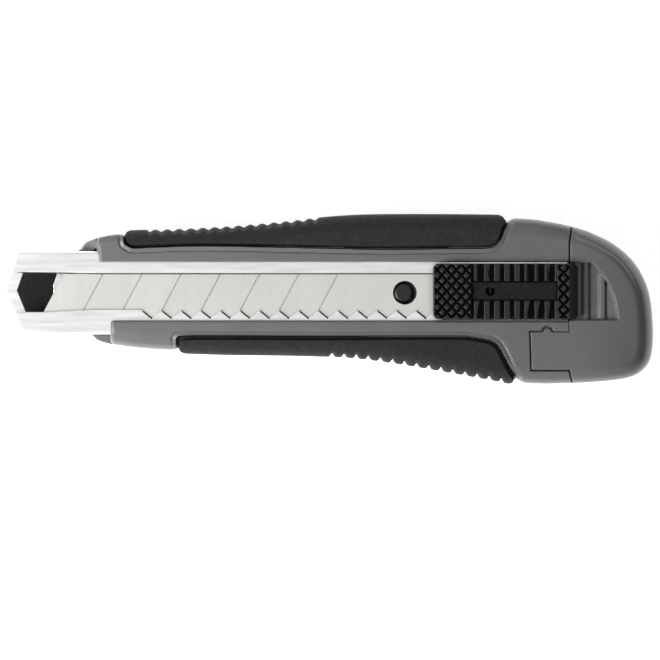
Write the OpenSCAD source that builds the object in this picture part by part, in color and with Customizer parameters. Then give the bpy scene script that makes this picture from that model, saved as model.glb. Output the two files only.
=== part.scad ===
// Snap-off utility knife with an 18 mm blade and a slide that locks by itself.
// It lies on its flat back. X runs from the nose to the tail, Y across the blade and
// Z up out of the front face. The origin is on the flat back, on the blade's centre line,
// halfway along the knife.

/* [Blade] */
// Length along the cutting edge
blade_l = 104; // [98:1:108]
// Width from the back to the cutting edge
blade_w = 18; // [17:0.5:19]
// Thickness of the steel
blade_t = 0.5; // [0.4:0.05:0.6]
// Distance between two score lines
segment_l = 10; // [8:0.5:11]
// Number of score lines
score_lines = 7; // [5:1:8]
// Angle of the tip and of the score lines to the cutting edge
snap_angle = 62; // [56:1:68]
// Depth of a score line
score_depth = 0.15; // [0.08:0.01:0.2]
// Width of a score line
score_w = 0.3; // [0.2:0.05:0.4]
// Width of the ground bevel at the cutting edge
bevel_w = 1.6; // [1:0.1:2.5]
// Depth of the bevel on each face
bevel_d = 0.2; // [0.1:0.01:0.22]
// Diameter of the hole for the stud
blade_hole_d = 6.1; // [5.4:0.1:7]
// Distance from the hole to the blade's rear end
blade_hole_back = 9.6; // [8:0.2:11]
// Distance that the tip lies behind the nose
blade_back = 7.5; // [6:0.5:10]

/* [Steel channel] */
// Play on each side of the blade in the channel
blade_side_gap = 0.9; // [0.6:0.1:1.2]
// Thickness of the sheet
sheet_t = 0.7; // [0.5:0.05:0.9]
// Depth of the hollow between the back wall and the lips
channel_inner_d = 4; // [3.6:0.1:4.6]
// Width of the upper lip, over the back of the blade
upper_lip_w = 5.7; // [5.2:0.1:6]
// Width of the lower lip, up to the tips of its teeth
lower_lip_w = 6.5; // [6:0.1:6.8]
// Pitch of the locking notches
notch_pitch = 5; // [4.5:0.5:6]
// Depth of the locking notches
notch_depth = 2; // [1.6:0.1:2.2]
// Number of notches that the lock passes over
notch_steps = 18; // [15:1:18]
// Length of the pointed nose along the upper lip
nose_upper_l = 3.5; // [2:0.5:5]
// Length of the pointed nose along the lower lip
nose_lower_l = 4.6; // [2:0.2:6]
// Width of the bright rim in front of the nose insert
nose_rim = 3; // [2:0.5:4]
// Length of the nose insert
insert_l = 9.4; // [8:0.2:11]
// Thickness of the nose insert behind the channel
insert_t = 0.8; // [0.5:0.1:1.2]
// Width of the insert's flange behind the channel
insert_flange_w = 0.9; // [0.6:0.1:1.2]
// Length of the channel in front of the casing
nose_out = 19.1; // [16:0.5:24]

/* [Casing] */
// Thickness from the flat back to the front face
casing_t = 17; // [16:0.25:19]
// Thickness of the wall between the channel and the blade store
web_t = 1.2; // [0.8:0.1:1.6]
// Thickness of the casing's lips over the channel
casing_lip_t = 1.5; // [1.2:0.1:2]
// Width of the window that the slider runs in
window_w = 14.9; // [14.7:0.1:15.6]
// Distance of the window's middle above the blade's centre line
window_up = 0.45; // [0.3:0.05:0.6]
// Thickness of the back shell's floor
floor_t = 2; // [1.5:0.1:2.5]
// Rounding of the front edge
front_edge_r = 3.6; // [2:0.2:4.2]
// Rounding of the back edge
back_edge_r = 2.6; // [1.5:0.1:3]
// Distance of the upper lip's end behind the front end of the casing
upper_lip_set = 4.6; // [3:0.2:7]
// Distance of the lower lip's end behind the front end of the casing
lower_lip_set = 7.6; // [6:0.2:10]
// Gap around the end cap and its tongue
part_gap = 0.3; // [0.2:0.05:0.5]

/* [Grips] */
// Thickness of the soft grips
grip_t = 1.8; // [1.4:0.1:2.2]
// Height of the grips above the casing at the sides
grip_proud = 0.8; // [0.3:0.1:1]
// Height of the grips above the front face
grip_front_proud = 0.4; // [0.2:0.1:0.8]

/* [Slider] */
// Length of the thumb slider
slider_l = 36.6; // [35:0.2:38]
// Width of the thumb slider
slider_w = 14; // [13:0.1:14.2]
// Height of the ribs above the channel
slider_h = 3.6; // [3.4:0.1:4.4]
// Height of the end pads above the ribs
pad_rise = 0.5; // [0.2:0.1:1]
// Length of the front pad
front_pad_l = 9.8; // [8:0.2:11]
// Length of the rear pad
rear_pad_l = 4.9; // [3.6:0.1:6]
// Number of ribs in each row
slider_ribs = 8; // [6:1:8]
// Length of a rib along the slider
rib_l = 1.5; // [1:0.1:1.7]
// Depth of the grooves between the ribs
rib_groove_d = 1.1; // [0.6:0.1:1.3]
// Width of the smooth plate between the ribs
plate_w = 4.4; // [3.6:0.1:5]
// Distance from the front pad to the plate's hole
plate_hole_x = 4.1; // [3:0.1:8]
// Thickness of the smooth plate
plate_t = 0.8; // [0.6:0.1:1]
// Diameter of the hole in the smooth plate
plate_hole_d = 2.5; // [1.6:0.1:3]
// Distance from the stud to the slider
stud_gap = 7.2; // [6.6:0.2:8]
// Distance that the slider moves on the carrier to free the lock
release_travel = 1.5; // [1.2:0.1:1.8]
// Length of the slider that lies over the end cap
slider_over = 1.9; // [1.4:0.1:2.6]

/* [Carrier and lock] */
// Diameter of the stud at its top
stud_top_d = 4; // [3:0.1:4.6]
// Diameter of the stud at its root
stud_root_d = 5.5; // [4.8:0.1:6]
// Height of the stud above the blade
stud_rise = 0.5; // [0.3:0.05:0.7]
// Width of the carrier's tongue under the blade
carrier_tongue_w = 13; // [10:0.5:14]
// Distance that the tongue reaches ahead of the stud
carrier_tongue_ahead = 4.5; // [3.6:0.1:6]
// Distance of the rail above the blade's centre line
rail_up = 2.7; // [2.6:0.05:2.8]
// Distance from the slider's front end to the rail
rail_back = 4.4; // [4:0.1:5]
// Length of the rail that holds the slider
rail_l = 20; // [16:0.5:22]
// Width of the rail's web
rail_web_w = 1.4; // [1.2:0.1:1.8]
// Width of the rail's head
rail_head_w = 3; // [2.6:0.1:3.2]
// Thickness of the rail's head
rail_head_t = 0.7; // [0.6:0.05:0.8]
// Length of the return spring
return_spring_l = 6; // [5:0.2:7]
// Thickness of the return spring's strip
return_spring_t = 0.25; // [0.15:0.05:0.35]
// Distance from the lock's pivot to its tooth
lock_arm_l = 14; // [13:0.2:14.4]
// Width of the lock's arm
lock_arm_w = 0.5; // [0.4:0.05:0.7]
// Distance from the tips of the lip's teeth to the middle of the lock's arm
lock_in = 1.75; // [1.65:0.05:1.85]
// Width of the lock's tooth where it meets the arm
tooth_neck_w = 2.4; // [2:0.1:2.8]
// Height of the ramp on the lock's arm
ramp_h = 1.2; // [1.1:0.05:1.3]
// Diameter of the lock's eye
lock_eye_d = 3.2; // [2.8:0.1:3.4]
// Diameter of the pivot pin
lock_pin_d = 1.6; // [1.2:0.1:1.8]
// Distance from the tooth back to the slider's finger
finger_back = 6.4; // [5.6:0.2:7]
// Diameter of the slider's finger
finger_d = 0.9; // [0.7:0.1:1]
// Distance that the tooth lifts clear of the notches
lock_clear = 0.3; // [0.2:0.05:0.4]
// Thickness of the leaf that presses the tooth into a notch
lock_leaf_t = 0.2; // [0.15:0.05:0.25]
// Distance from the tooth back to the leaf's tip
leaf_tip_back = 3; // [2:0.2:4]
// Length of the leaf's tip that lies along the arm
leaf_tip_l = 1; // [0.6:0.1:1.4]
// Length of the post that holds the leaf
leaf_post_l = 1.6; // [1.2:0.1:2]
// Distance from the pivot forwards to the post
leaf_post_ahead = 4.6; // [4:0.1:5]
// Distance from the middle of the lock's arm to the post
leaf_post_out = 1.5; // [1.3:0.1:1.6]

/* [End cap] */
// Length of the end cap
cap_l = 21.4; // [20:0.2:24]
// Length of the tongue on the front
tongue_l = 10.4; // [9:0.2:12]
// Width of the tongue
tongue_w = 9.7; // [8:0.1:10.2]
// Thickness of the tongue
tongue_t = 3; // [2.4:0.1:3.2]
// Width of the casing's strip above the tongue
strip_w = 3; // [2.6:0.1:3.6]
// Radius of the detent on the tongue
detent_r = 1; // [0.8:0.05:1.2]
// Distance of the detent from the joint
detent_back = 5.5; // [4:0.1:6]
// Depth of the thumb recess
recess_d = 2.1; // [1.9:0.1:2.4]
// Radius of the thumb recess's curved border
recess_r = 19; // [17:0.5:20]
// Distance of the border's centre in front of the end cap
recess_ahead = 6.4; // [5.6:0.2:7]
// Distance from the joint to the recess's flat floor
recess_flat = 1; // [0.6:0.1:1.4]
// Distance between the steps in the recess
recess_step_l = 4.2; // [3.6:0.1:4.6]
// Height of the steps in the recess
recess_step_h = 0.6; // [0.3:0.1:0.9]
// Thickness of the cap's wall
cap_wall = 2.2; // [1.6:0.1:2.6]
// Length of the prongs inside the casing
prong_l = 9; // [7:0.5:11]
// Thickness of the prongs
prong_t = 1.4; // [1:0.1:1.8]

/* [Blade store] */
// Height of the ribs under the spare blades
store_rib_h = 3.2; // [2:0.1:3.8]
// Width of a store rib
store_rib_w = 1.4; // [1:0.1:2]
// Play at the ends of the spare blades
store_end_gap = 1; // [0.5:0.1:2]
// Play on each side of the spare blades
store_side_gap = 0.4; // [0.2:0.05:0.6]

/* [Screws] */
// Diameter of the shank
screw_d = 2; // [1.8:0.1:2.2]
// Diameter of the head
screw_head_d = 3.6; // [3.2:0.1:4]
// Height of the head
screw_head_h = 1.3; // [1:0.1:1.5]
// Width of the arms of the cross recess
screw_cross_w = 0.5; // [0.4:0.05:0.7]
// Length of the shank
screw_l = 11; // [9.6:0.1:11.4]
// Distance of the screws in front of the end cap
screw_ahead = 5.8; // [5:0.1:7]
// Distance of the upper screw beyond the channel
screw_out = 3.2; // [2.6:0.1:4]

/* [Hidden] */

fit_gap = 0.1;       // between still pieces that lie against each other
run_gap = 0.15;      // between faces that slide on each other
pin_gap = 0.05;      // round the pivot pin, in the lock's eye
press_gap = 0.02;    // round the pivot pin, in the carrier
clear_gap = 0.3;     // between pieces that pass each other
hook_t = 0.6;        // thickness of the slider's hooks under the rail's head
corner_r = 1.4;      // corners of the slider, seen from the front
end_slope_l = 1.6;   // slope at the slider's rear end
edge_bevel = 0.6;    // bevel on the slider's front edge
tip_gap = 0.2;       // between the lock's tooth and the bottom of a notch
pin_floor_t = 1;     // under the pivot pin, in the carrier
cut = 1;             // overshoot of a cut past the face that it opens
big = 400;           // longer than the knife
curve_steps = 3;     // chords in each stretch of an outline
round_steps = 2;     // chords in the rounding of an edge

// Places along X, from the nose to the tail.
overall_l = blade_back + blade_l - blade_hole_back + stud_gap + slider_l - slider_over + cap_l;
nose_x = -overall_l / 2;
tip_x = nose_x + blade_back;
blade_end_x = tip_x + blade_l;
stud_x = blade_end_x - blade_hole_back;
slider_x = stud_x + stud_gap;
slider_end_x = slider_x + slider_l;
cap_x = slider_end_x - slider_over;
tail_x = cap_x + cap_l;
casing_x = nose_x + nose_out;
channel_end_x = cap_x - part_gap;
spare_x = cap_x - blade_l - store_end_gap;
spare_step = blade_t + fit_gap;
body_l = tail_x - casing_x;
lock_x = slider_x + slider_l / 2;
pin_x = lock_x + lock_arm_l;

// Levels along Z, from the channel to the slider.
channel_w = blade_w + 2 * (sheet_t + blade_side_gap);
half_w = channel_w / 2;
channel_top_z = casing_t - casing_lip_t - fit_gap;
lip_z = channel_top_z - sheet_t;
channel_floor_z = lip_z - channel_inner_d;
channel_z = channel_floor_z - sheet_t;
blade_z = lip_z - run_gap - blade_t;
carrier_z = channel_floor_z + run_gap;
carrier_top_z = lip_z - run_gap;
lock_z = carrier_top_z + fit_gap;
lock_h = channel_top_z - lock_z;
pin_low_z = carrier_z + pin_floor_t;
slider_z = channel_top_z + run_gap;
rib_z = channel_top_z + slider_h;
pad_z = rib_z + pad_rise;
rail_head_z = slider_z + hook_t;
rail_top_z = rail_head_z + rail_head_t;
pocket_top_z = rail_top_z + run_gap;
seam_z = channel_z - fit_gap - web_t;
recess_z = casing_t - recess_d;
tongue_z = casing_t - tongue_t;
store_z = floor_t + store_rib_h;

// Places along Y, from the blade's centre line.
upper_lip_y = half_w - upper_lip_w;
lower_lip_y = lower_lip_w - half_w;
window_mid_y = window_up;
window_low_y = window_mid_y - window_w / 2;
slider_low_y = window_mid_y - slider_w / 2;
tongue_high_y = window_low_y - strip_w;
rail_y = rail_up;
wall_y = rail_y - rail_head_w / 2 - run_gap;
lock_y = lower_lip_y + lock_in;
store_half_w = blade_w / 2 + store_side_gap;

// Outlines, each point as the percent of the body's length behind the casing's front end
// and the height beyond the channel's edge as the percent of the channel's width.
upper_edge = [
    [0, 3.5], [2, 13], [4.1, 17], [8, 21], [16, 23], [26, 26.5], [36, 32.5], [44, 38.5],
    [52, 41], [66, 41], [77, 39.5], [81.5, 36], [86, 29.5], [89.5, 21.5], [93.6, 6.5],
];
tail_edge = [[97, -16], [99.2, -47], [100, -87], [99.8, -122.5], [98.6, -140.5], [96, -151]];
lower_edge = [
    [91.4, -56], [84, -59], [77.5, -58.5], [70, -49.5], [58, -35], [48, -25.5], [38, -22.5],
    [24, -21], [12, -17.5], [5.5, -11.5], [2.1, -1.5],
];
upper_grip = [
    [7.9, 13], [8.4, 25.5], [9.8, 31], [18, 32], [30, 37.5], [41, 44.5], [44.5, 49],
    [56, 50], [66, 49], [73, 44.5], [74.4, 35],
    [74, 26.5], [73, 12.5], [70.2, 5.5], [64, 3.5], [52, 2.5], [38, 4.5], [22, 6.5], [13, 5],
    [9.4, 4], [8.2, 7],
];
lower_grip = [
    [16.8, -10.5], [17, -4], [18, -2], [23, -1.5], [43, -2], [59, -1.5], [66.5, -1.5],
    [69.5, -4], [71.8, -7.5], [73.2, -16], [74.6, -35], [76, -56.5], [75.6, -68],
    [70.4, -63], [62, -51], [53, -39.5], [45, -34], [36, -32], [24, -30],
    [19.6, -28.5], [17.4, -21.5],
];

function curve_point(a, b, c, d, t) =
    0.5 * ((2 * b) + (c - a) * t + (2 * a - 5 * b + 4 * c - d) * t * t
        + (3 * b - a - 3 * c + d) * t * t * t);
function open_curve(p) = [
    for (i = [0 : len(p) - 2], k = [0 : curve_steps - 1])
        curve_point(p[max(i - 1, 0)], p[i], p[i + 1], p[min(i + 2, len(p) - 1)], k / curve_steps),
    p[len(p) - 1],
];
function closed_curve(p) = let (n = len(p)) [
    for (i = [0 : n - 1], k = [0 : curve_steps - 1])
        curve_point(p[(i + n - 1) % n], p[i], p[(i + 1) % n], p[(i + 2) % n], k / curve_steps),
];
function placed(p, side) = [
    for (q = p) [casing_x + q[0] / 100 * body_l, side * half_w + q[1] / 100 * channel_w],
];
// The tail runs down from the upper edge, so its heights count from there as well.
body_outline = open_curve(concat(
    placed(upper_edge, 1), placed(tail_edge, 1), placed(lower_edge, -1)));
upper_grip_outline = closed_curve(placed(upper_grip, 1));
lower_grip_outline = closed_curve(placed(lower_grip, -1));

// A clockwise outline moved inwards by d, with mitred corners.
function unit(v) = v / norm(v);
function inward(v) = [v[1], -v[0]];
function inset(p, d) = let (n = len(p)) [
    for (i = [0 : n - 1])
        let (
            before = inward(unit(p[i] - p[(i + n - 1) % n])),
            after = inward(unit(p[(i + 1) % n] - p[i]))
        )
        p[i] + d * (before + after) / (1 + before * after)
];

// A plate of a clockwise outline, from low_z to high_z, with its two edges rounded. Its flat
// faces are laid in strips across the outline, from its first half to its second.
module slab(outline, low_z, high_z, low_r, high_r) {
    turn = [for (k = [0 : round_steps]) 90 * k / round_steps];
    levels = concat(
        [for (a = turn) [low_z + low_r * (1 - cos(a)), low_r * (1 - sin(a))]],
        [for (a = turn) [high_z - high_r * (1 - sin(a)), high_r * (1 - cos(a))]]
    );
    n = len(outline);
    rows = len(levels);
    points = [for (level = levels) for (q = inset(outline, level[1])) [q[0], q[1], level[0]]];
    sides = [
        for (j = [0 : rows - 2], i = [0 : n - 1], half = [0, 1])
            let (a = j * n + i, b = j * n + (i + 1) % n)
            half == 0 ? [a, b + n, a + n] : [a, b, b + n]
    ];
    flat = [
        for (i = [0 : floor(n / 2) - 1], half = [0, 1])
            let (j = n - 1 - i)
            if (half == 0 || i + 1 < j - 1) half == 0 ? [i, i + 1, j] : [i + 1, j - 1, j]
    ];
    last = (rows - 1) * n;
    top = [for (f = flat) [f[0] + last, f[1] + last, f[2] + last]];
    bottom = [for (f = flat) [f[2], f[1], f[0]]];
    polyhedron(points, concat(bottom, sides, top));
}

module block(low, high) {
    translate(low) cube(high - low);
}

// Everything behind a plane across the knife.
module behind(x) {
    block([x, -big, -big], [x + big, big, big]);
}

module casing_blank() {
    slab(body_outline, 0, casing_t, back_edge_r, front_edge_r);
}

// What lies under the grips, with its surface moved out by grow.
module grip_bed(grow) {
    slab(inset(body_outline, grip_t - grip_proud - grow), grip_t - grow,
        casing_t + grip_front_proud - grip_t + grow, back_edge_r, front_edge_r);
}

module grip_pockets() {
    for (outline = [upper_grip_outline, lower_grip_outline]) {
        difference() {
            translate([0, 0, -cut]) linear_extrude(casing_t + 2 * cut)
                polygon(inset(outline, -fit_gap));
            grip_bed(0);
        }
    }
}

module grip(outline) {
    difference() {
        intersection() {
            linear_extrude(casing_t + cut) polygon(outline);
            slab(inset(body_outline, -grip_proud), 0, casing_t + grip_front_proud,
                back_edge_r, front_edge_r);
        }
        grip_bed(fit_gap);
    }
}

module below_seam() {
    intersection() {
        children();
        block([-big, -big, -cut], [big, big, seam_z]);
    }
}

module above_seam(gap) {
    intersection() {
        children();
        block([-big, -big, seam_z + gap], [big, big, casing_t + 2 * cut]);
    }
}

// The two screws stand in the tail, one beside the window and one under the tongue.
screw_places = [
    [cap_x - screw_ahead, half_w + screw_out],
    [cap_x - screw_ahead, tongue_high_y - tongue_w / 2],
];

module screw_holes(d, low_z, high_z) {
    for (place = screw_places) {
        translate([place[0], place[1], low_z]) cylinder(d = d, h = high_z - low_z, $fn = 32);
    }
}

// Open space behind the channel, where the spare blades lie.
module store_hollow() {
    block([spare_x - store_end_gap, -store_half_w, floor_t],
        [cap_x + cut, store_half_w, casing_t]);
}

module casing_back() {
    color([0.45, 0.45, 0.44]) {
        difference() {
            below_seam() casing_blank();
            behind(cap_x);
            store_hollow();
            below_seam() grip_pockets();
            screw_holes(screw_d + 2 * fit_gap, -cut, seam_z + cut);
            screw_holes(screw_head_d + 2 * fit_gap, -cut, screw_head_h);
        }
        for (place = [-0.7, 0, 0.7]) {
            y = place * store_half_w;
            block([spare_x, y - store_rib_w / 2, floor_t - fit_gap],
                [cap_x - prong_l - store_end_gap, y + store_rib_w / 2, store_z]);
        }
    }
}

// The tongue and its detent, kept off the channel beside it.
module tongue_shape(grow) {
    difference() {
        union() {
            block([cap_x - tongue_l - grow, tongue_high_y - tongue_w - grow, tongue_z - grow],
                [cap_x + cut, tongue_high_y + grow, casing_t + cut]);
            translate([cap_x - detent_back, tongue_high_y, tongue_z - grow])
                cylinder(r = detent_r + grow, h = tongue_t + grow + cut, $fn = 32);
        }
        block([cap_x - tongue_l - cut, -half_w - clear_gap + grow, channel_z],
            [cap_x + 2 * cut, half_w, channel_top_z + clear_gap - grow]);
    }
}

module casing_front() {
    color([0.47, 0.47, 0.46]) difference() {
        above_seam(fit_gap) casing_blank();
        behind(cap_x);
        // The front ends of the two sides
        block([casing_x - cut, 0, 0], [casing_x + upper_lip_set, big, casing_t + cut]);
        block([casing_x - cut, -big, 0], [casing_x + lower_lip_set, 0, casing_t + cut]);
        // The bed of the channel
        block([casing_x - cut, -half_w - fit_gap, channel_z - fit_gap],
            [cap_x + cut, half_w + fit_gap, channel_top_z + fit_gap]);
        // The window
        block([casing_x - cut, window_low_y, lip_z],
            [cap_x + cut, window_low_y + window_w, casing_t + cut]);
        tongue_shape(part_gap);
        grip_pockets();
        screw_holes(screw_d + 2 * pin_gap, seam_z - cut, screw_l + screw_head_h + clear_gap);
    }
}

module upper_grip_back() {
    color([0.17, 0.17, 0.18]) below_seam() grip(upper_grip_outline);
}

module upper_grip_front() {
    color([0.18, 0.18, 0.19]) above_seam(fit_gap) grip(upper_grip_outline);
}

module lower_grip_back() {
    color([0.17, 0.17, 0.18]) below_seam() grip(lower_grip_outline);
}

module lower_grip_front() {
    color([0.18, 0.18, 0.19]) above_seam(fit_gap) grip(lower_grip_outline);
}

module casing_screws() {
    color([0.35, 0.35, 0.36]) for (place = screw_places) {
        translate([place[0], place[1], fit_gap]) difference() {
            union() {
                cylinder(d = screw_head_d, h = screw_head_h - 2 * fit_gap, $fn = 32);
                cylinder(d = screw_d, h = screw_head_h + screw_l, $fn = 24);
            }
            // Cross recess
            for (turn = [0, 90]) {
                rotate(turn) translate([-screw_head_d / 4, -screw_cross_w / 2, -cut])
                    cube([screw_head_d / 2, screw_cross_w, cut + screw_head_h / 2]);
            }
        }
    }
}

// The pointed end, moved back by the rim and widened by grow.
module nose_point(back, height) {
    upper_slope = nose_upper_l / half_w;
    lower_slope = nose_lower_l / half_w;
    translate([0, 0, channel_z - cut]) linear_extrude(height) polygon([
        [nose_x + back, 0],
        [nose_x + back + big * upper_slope, big],
        [nose_x + back + big, big],
        [nose_x + back + big, -big],
        [nose_x + back + big * lower_slope, -big],
    ]);
}

module insert_shape(grow, low_z, high_z) {
    intersection() {
        nose_point(nose_rim - grow, casing_t);
        block([nose_x, -blade_w / 2 - grow, low_z],
            [nose_x + nose_rim + insert_l + grow, blade_w / 2 + grow, high_z]);
    }
}

module lower_lip_edge() {
    translate([0, 0, lip_z - cut]) linear_extrude(sheet_t + 2 * cut)
        for (k = [0 : notch_steps]) {
            x = lock_x - k * notch_pitch;
            polygon([
                [x - notch_pitch / 2, lower_lip_y], [x, lower_lip_y - notch_depth],
                [x + notch_pitch / 2, lower_lip_y], [x + notch_pitch / 2, lower_lip_y + cut],
                [x - notch_pitch / 2, lower_lip_y + cut],
            ]);
        }
}

module blade_channel() {
    color([0.86, 0.87, 0.88]) difference() {
        intersection() {
            block([nose_x, -half_w, channel_z], [channel_end_x, half_w, channel_top_z]);
            nose_point(0, casing_t);
        }
        // The hollow that the blade and its carrier run in
        block([nose_x - cut, sheet_t - half_w, channel_floor_z],
            [channel_end_x + cut, half_w - sheet_t, lip_z]);
        // The slot between the lips
        block([nose_x - cut, lower_lip_y, lip_z - cut],
            [channel_end_x + cut, upper_lip_y, casing_t]);
        lower_lip_edge();
        insert_shape(fit_gap, channel_z - cut, channel_floor_z + cut);
    }
}

module nose_insert() {
    color([0.09, 0.09, 0.1]) {
        insert_shape(0, channel_z - fit_gap, channel_floor_z);
        insert_shape(insert_flange_w, channel_z - fit_gap - insert_t, channel_z - fit_gap);
    }
}

// A blade with its tip at the origin and its cutting edge along X.
module blade_shape() {
    lean = blade_w / tan(snap_angle);
    hole = [blade_l - blade_hole_back, blade_w / 2];
    difference() {
        linear_extrude(blade_t) difference() {
            polygon([[0, 0], [blade_l, 0], [blade_l, blade_w], [lean, blade_w]]);
            translate(hole) circle(d = blade_hole_d, $fn = 48);
        }
        for (k = [1 : score_lines]) {
            translate([k * segment_l, 0, blade_t - score_depth]) rotate(snap_angle)
                translate([-cut, -score_w / 2, 0]) cube([big, score_w, cut]);
        }
        // The ground bevel, on both faces
        for (face = [0, 1]) {
            translate([-cut, 0, face * blade_t]) mirror([0, 0, 1 - face])
                translate([0, 0, -bevel_d]) rotate([atan(bevel_d / bevel_w), 0, 0])
                translate([0, -cut, 0]) cube([big, cut + norm([bevel_w, bevel_d]), cut]);
        }
    }
}

module blade() {
    color([0.8, 0.8, 0.79]) translate([tip_x, -blade_w / 2, blade_z]) blade_shape();
}

module spare_blade_lower() {
    color([0.78, 0.79, 0.79]) translate([spare_x, -blade_w / 2, store_z + fit_gap]) blade_shape();
}

module spare_blade_upper() {
    color([0.8, 0.81, 0.81]) translate([spare_x, -blade_w / 2, store_z + fit_gap + spare_step])
        blade_shape();
}

stud_play = blade_hole_d - stud_root_d;
rail_x = slider_x + rail_back;
spring_x = rail_x + rail_l + fit_gap;
pocket_end_x = spring_x + return_spring_l + fit_gap;
leaf_post_x = pin_x - leaf_post_ahead;
leaf_foot_x = leaf_post_x + leaf_post_l / 2;
leaf_post_low_y = lock_y + leaf_post_out;
leaf_post_high_y = wall_y - clear_gap - run_gap - fit_gap - lock_leaf_t;

module blade_carrier() {
    color([0.12, 0.12, 0.13]) difference() {
        union() {
            // The tongue under the blade
            block([stud_x - carrier_tongue_ahead, -carrier_tongue_w / 2, carrier_z],
                [blade_end_x + cut, carrier_tongue_w / 2, blade_z - fit_gap]);
            // The block behind the blade
            block([blade_end_x + clear_gap, -blade_w / 2, carrier_z],
                [pin_x + lock_eye_d / 2 + fit_gap, blade_w / 2, carrier_top_z]);
            translate([stud_x - stud_play / 2, 0, blade_z - 2 * fit_gap])
                cylinder(d1 = stud_root_d, d2 = stud_top_d,
                    h = blade_t + stud_rise + 2 * fit_gap, $fn = 48);
            // The rail's web and head
            block([rail_x, rail_y - rail_web_w / 2, carrier_top_z - cut],
                [rail_x + rail_l, rail_y + rail_web_w / 2, rail_head_z + fit_gap]);
            block([rail_x, rail_y - rail_head_w / 2, rail_head_z],
                [rail_x + rail_l, rail_y + rail_head_w / 2, rail_top_z]);
            // The post that holds the lock's leaf
            block([leaf_post_x, leaf_post_low_y, carrier_top_z - cut],
                [leaf_post_x + leaf_post_l, leaf_post_high_y, rail_head_z]);
        }
        translate([pin_x, lock_y, pin_low_z])
            cylinder(d = lock_pin_d + 2 * press_gap, h = casing_t, $fn = 32);
        // The slot for the foot of the leaf
        block([leaf_foot_x - lock_leaf_t / 2 - fit_gap, leaf_post_low_y - cut, carrier_top_z],
            [leaf_foot_x + lock_leaf_t / 2 + fit_gap, leaf_post_high_y + cut, casing_t]);
    }
}

// A flat strip folded to and fro.
module return_spring() {
    folds = 8;
    pitch = (return_spring_l - return_spring_t) / folds;
    half_h = rail_head_w / 2 - fit_gap;
    color([0.7, 0.71, 0.72]) {
        for (i = [0 : folds]) {
            x = spring_x + i * pitch;
            block([x, rail_y - half_h, rail_head_z],
                [x + return_spring_t, rail_y + half_h, rail_head_z + rail_head_t]);
        }
        for (i = [0 : folds - 1]) {
            x = spring_x + i * pitch;
            low_y = i % 2 == 0 ? rail_y - half_h : rail_y + half_h - return_spring_t;
            block([x, low_y, rail_head_z],
                [x + pitch + return_spring_t, low_y + return_spring_t,
                    rail_head_z + rail_head_t]);
        }
    }
}

// How far the lock turns, and how its ramp rises under the slider's finger.
lock_lift = notch_depth + lock_clear;
lock_turn = lock_lift / lock_arm_l;
finger_x = lock_x + finger_back;
finger_r = finger_d / 2;
finger_y = lower_lip_y + run_gap + finger_r;
ramp_slope = lock_turn * (pin_x - finger_x) / release_travel;

module lock_lever() {
    arm_low_y = lock_y - lock_arm_w / 2;
    arm_high_y = lock_y + lock_arm_w / 2;
    shoulder = notch_pitch / 2 - notch_pitch / 2 / notch_depth * tip_gap;
    // The ramp's face passes the finger at run_gap, measured square to the face.
    ramp_tip_y = arm_low_y - ramp_h;
    reach = (finger_r + run_gap + fit_gap) * sqrt(1 + ramp_slope * ramp_slope);
    ramp_tip_x = finger_x - (finger_y + reach - ramp_tip_y) / ramp_slope;
    color([0.72, 0.73, 0.74]) translate([0, 0, lock_z]) difference() {
        union() {
            translate([pin_x, lock_y, 0]) cylinder(d = lock_eye_d, h = lock_h, $fn = 48);
            linear_extrude(lock_h) polygon([
                [pin_x, arm_low_y], [pin_x, arm_high_y], [lock_x - tooth_neck_w / 2, arm_high_y],
                [lock_x - shoulder, lower_lip_y], [lock_x, lower_lip_y - notch_depth + tip_gap],
                [lock_x + shoulder, lower_lip_y], [lock_x + tooth_neck_w / 2, arm_low_y],
                [ramp_tip_x, arm_low_y], [ramp_tip_x, ramp_tip_y],
                [ramp_tip_x + ramp_h / ramp_slope, arm_low_y],
            ]);
        }
        translate([pin_x, lock_y, -cut])
            cylinder(d = lock_pin_d + 2 * pin_gap, h = lock_h + 2 * cut, $fn = 32);
    }
}

module lock_pin() {
    color([0.75, 0.75, 0.76]) translate([pin_x, lock_y, pin_low_z + fit_gap])
        cylinder(d = lock_pin_d, h = rail_head_z - pin_low_z, $fn = 32);
}

// A thin leaf from the post to the back of the lock's arm.
module lock_leaf() {
    arm_y = lock_y + lock_arm_w / 2 + fit_gap;
    low_x = leaf_foot_x - lock_leaf_t / 2;
    high_x = leaf_foot_x + lock_leaf_t / 2;
    bend_x = leaf_post_x - fit_gap;
    bend_y = leaf_post_high_y + fit_gap;
    tip_x = lock_x + leaf_tip_back;
    color([0.66, 0.67, 0.7]) translate([0, 0, lock_z])
        linear_extrude(lock_h) polygon([
            [low_x, leaf_post_low_y], [high_x, leaf_post_low_y],
            [high_x, bend_y + lock_leaf_t], [bend_x - lock_leaf_t, bend_y + lock_leaf_t],
            [tip_x + leaf_tip_l, arm_y + lock_leaf_t], [tip_x, arm_y + lock_leaf_t],
            [tip_x, arm_y], [tip_x + leaf_tip_l, arm_y],
            [bend_x, bend_y], [low_x, bend_y],
        ]);
}

ribs_x = slider_x + front_pad_l;
ribs_l = slider_l - front_pad_l - rear_pad_l;
plate_z = rib_z - rib_groove_d / 2;
rib_pitch = (ribs_l - rib_l / 2) / slider_ribs;

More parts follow.
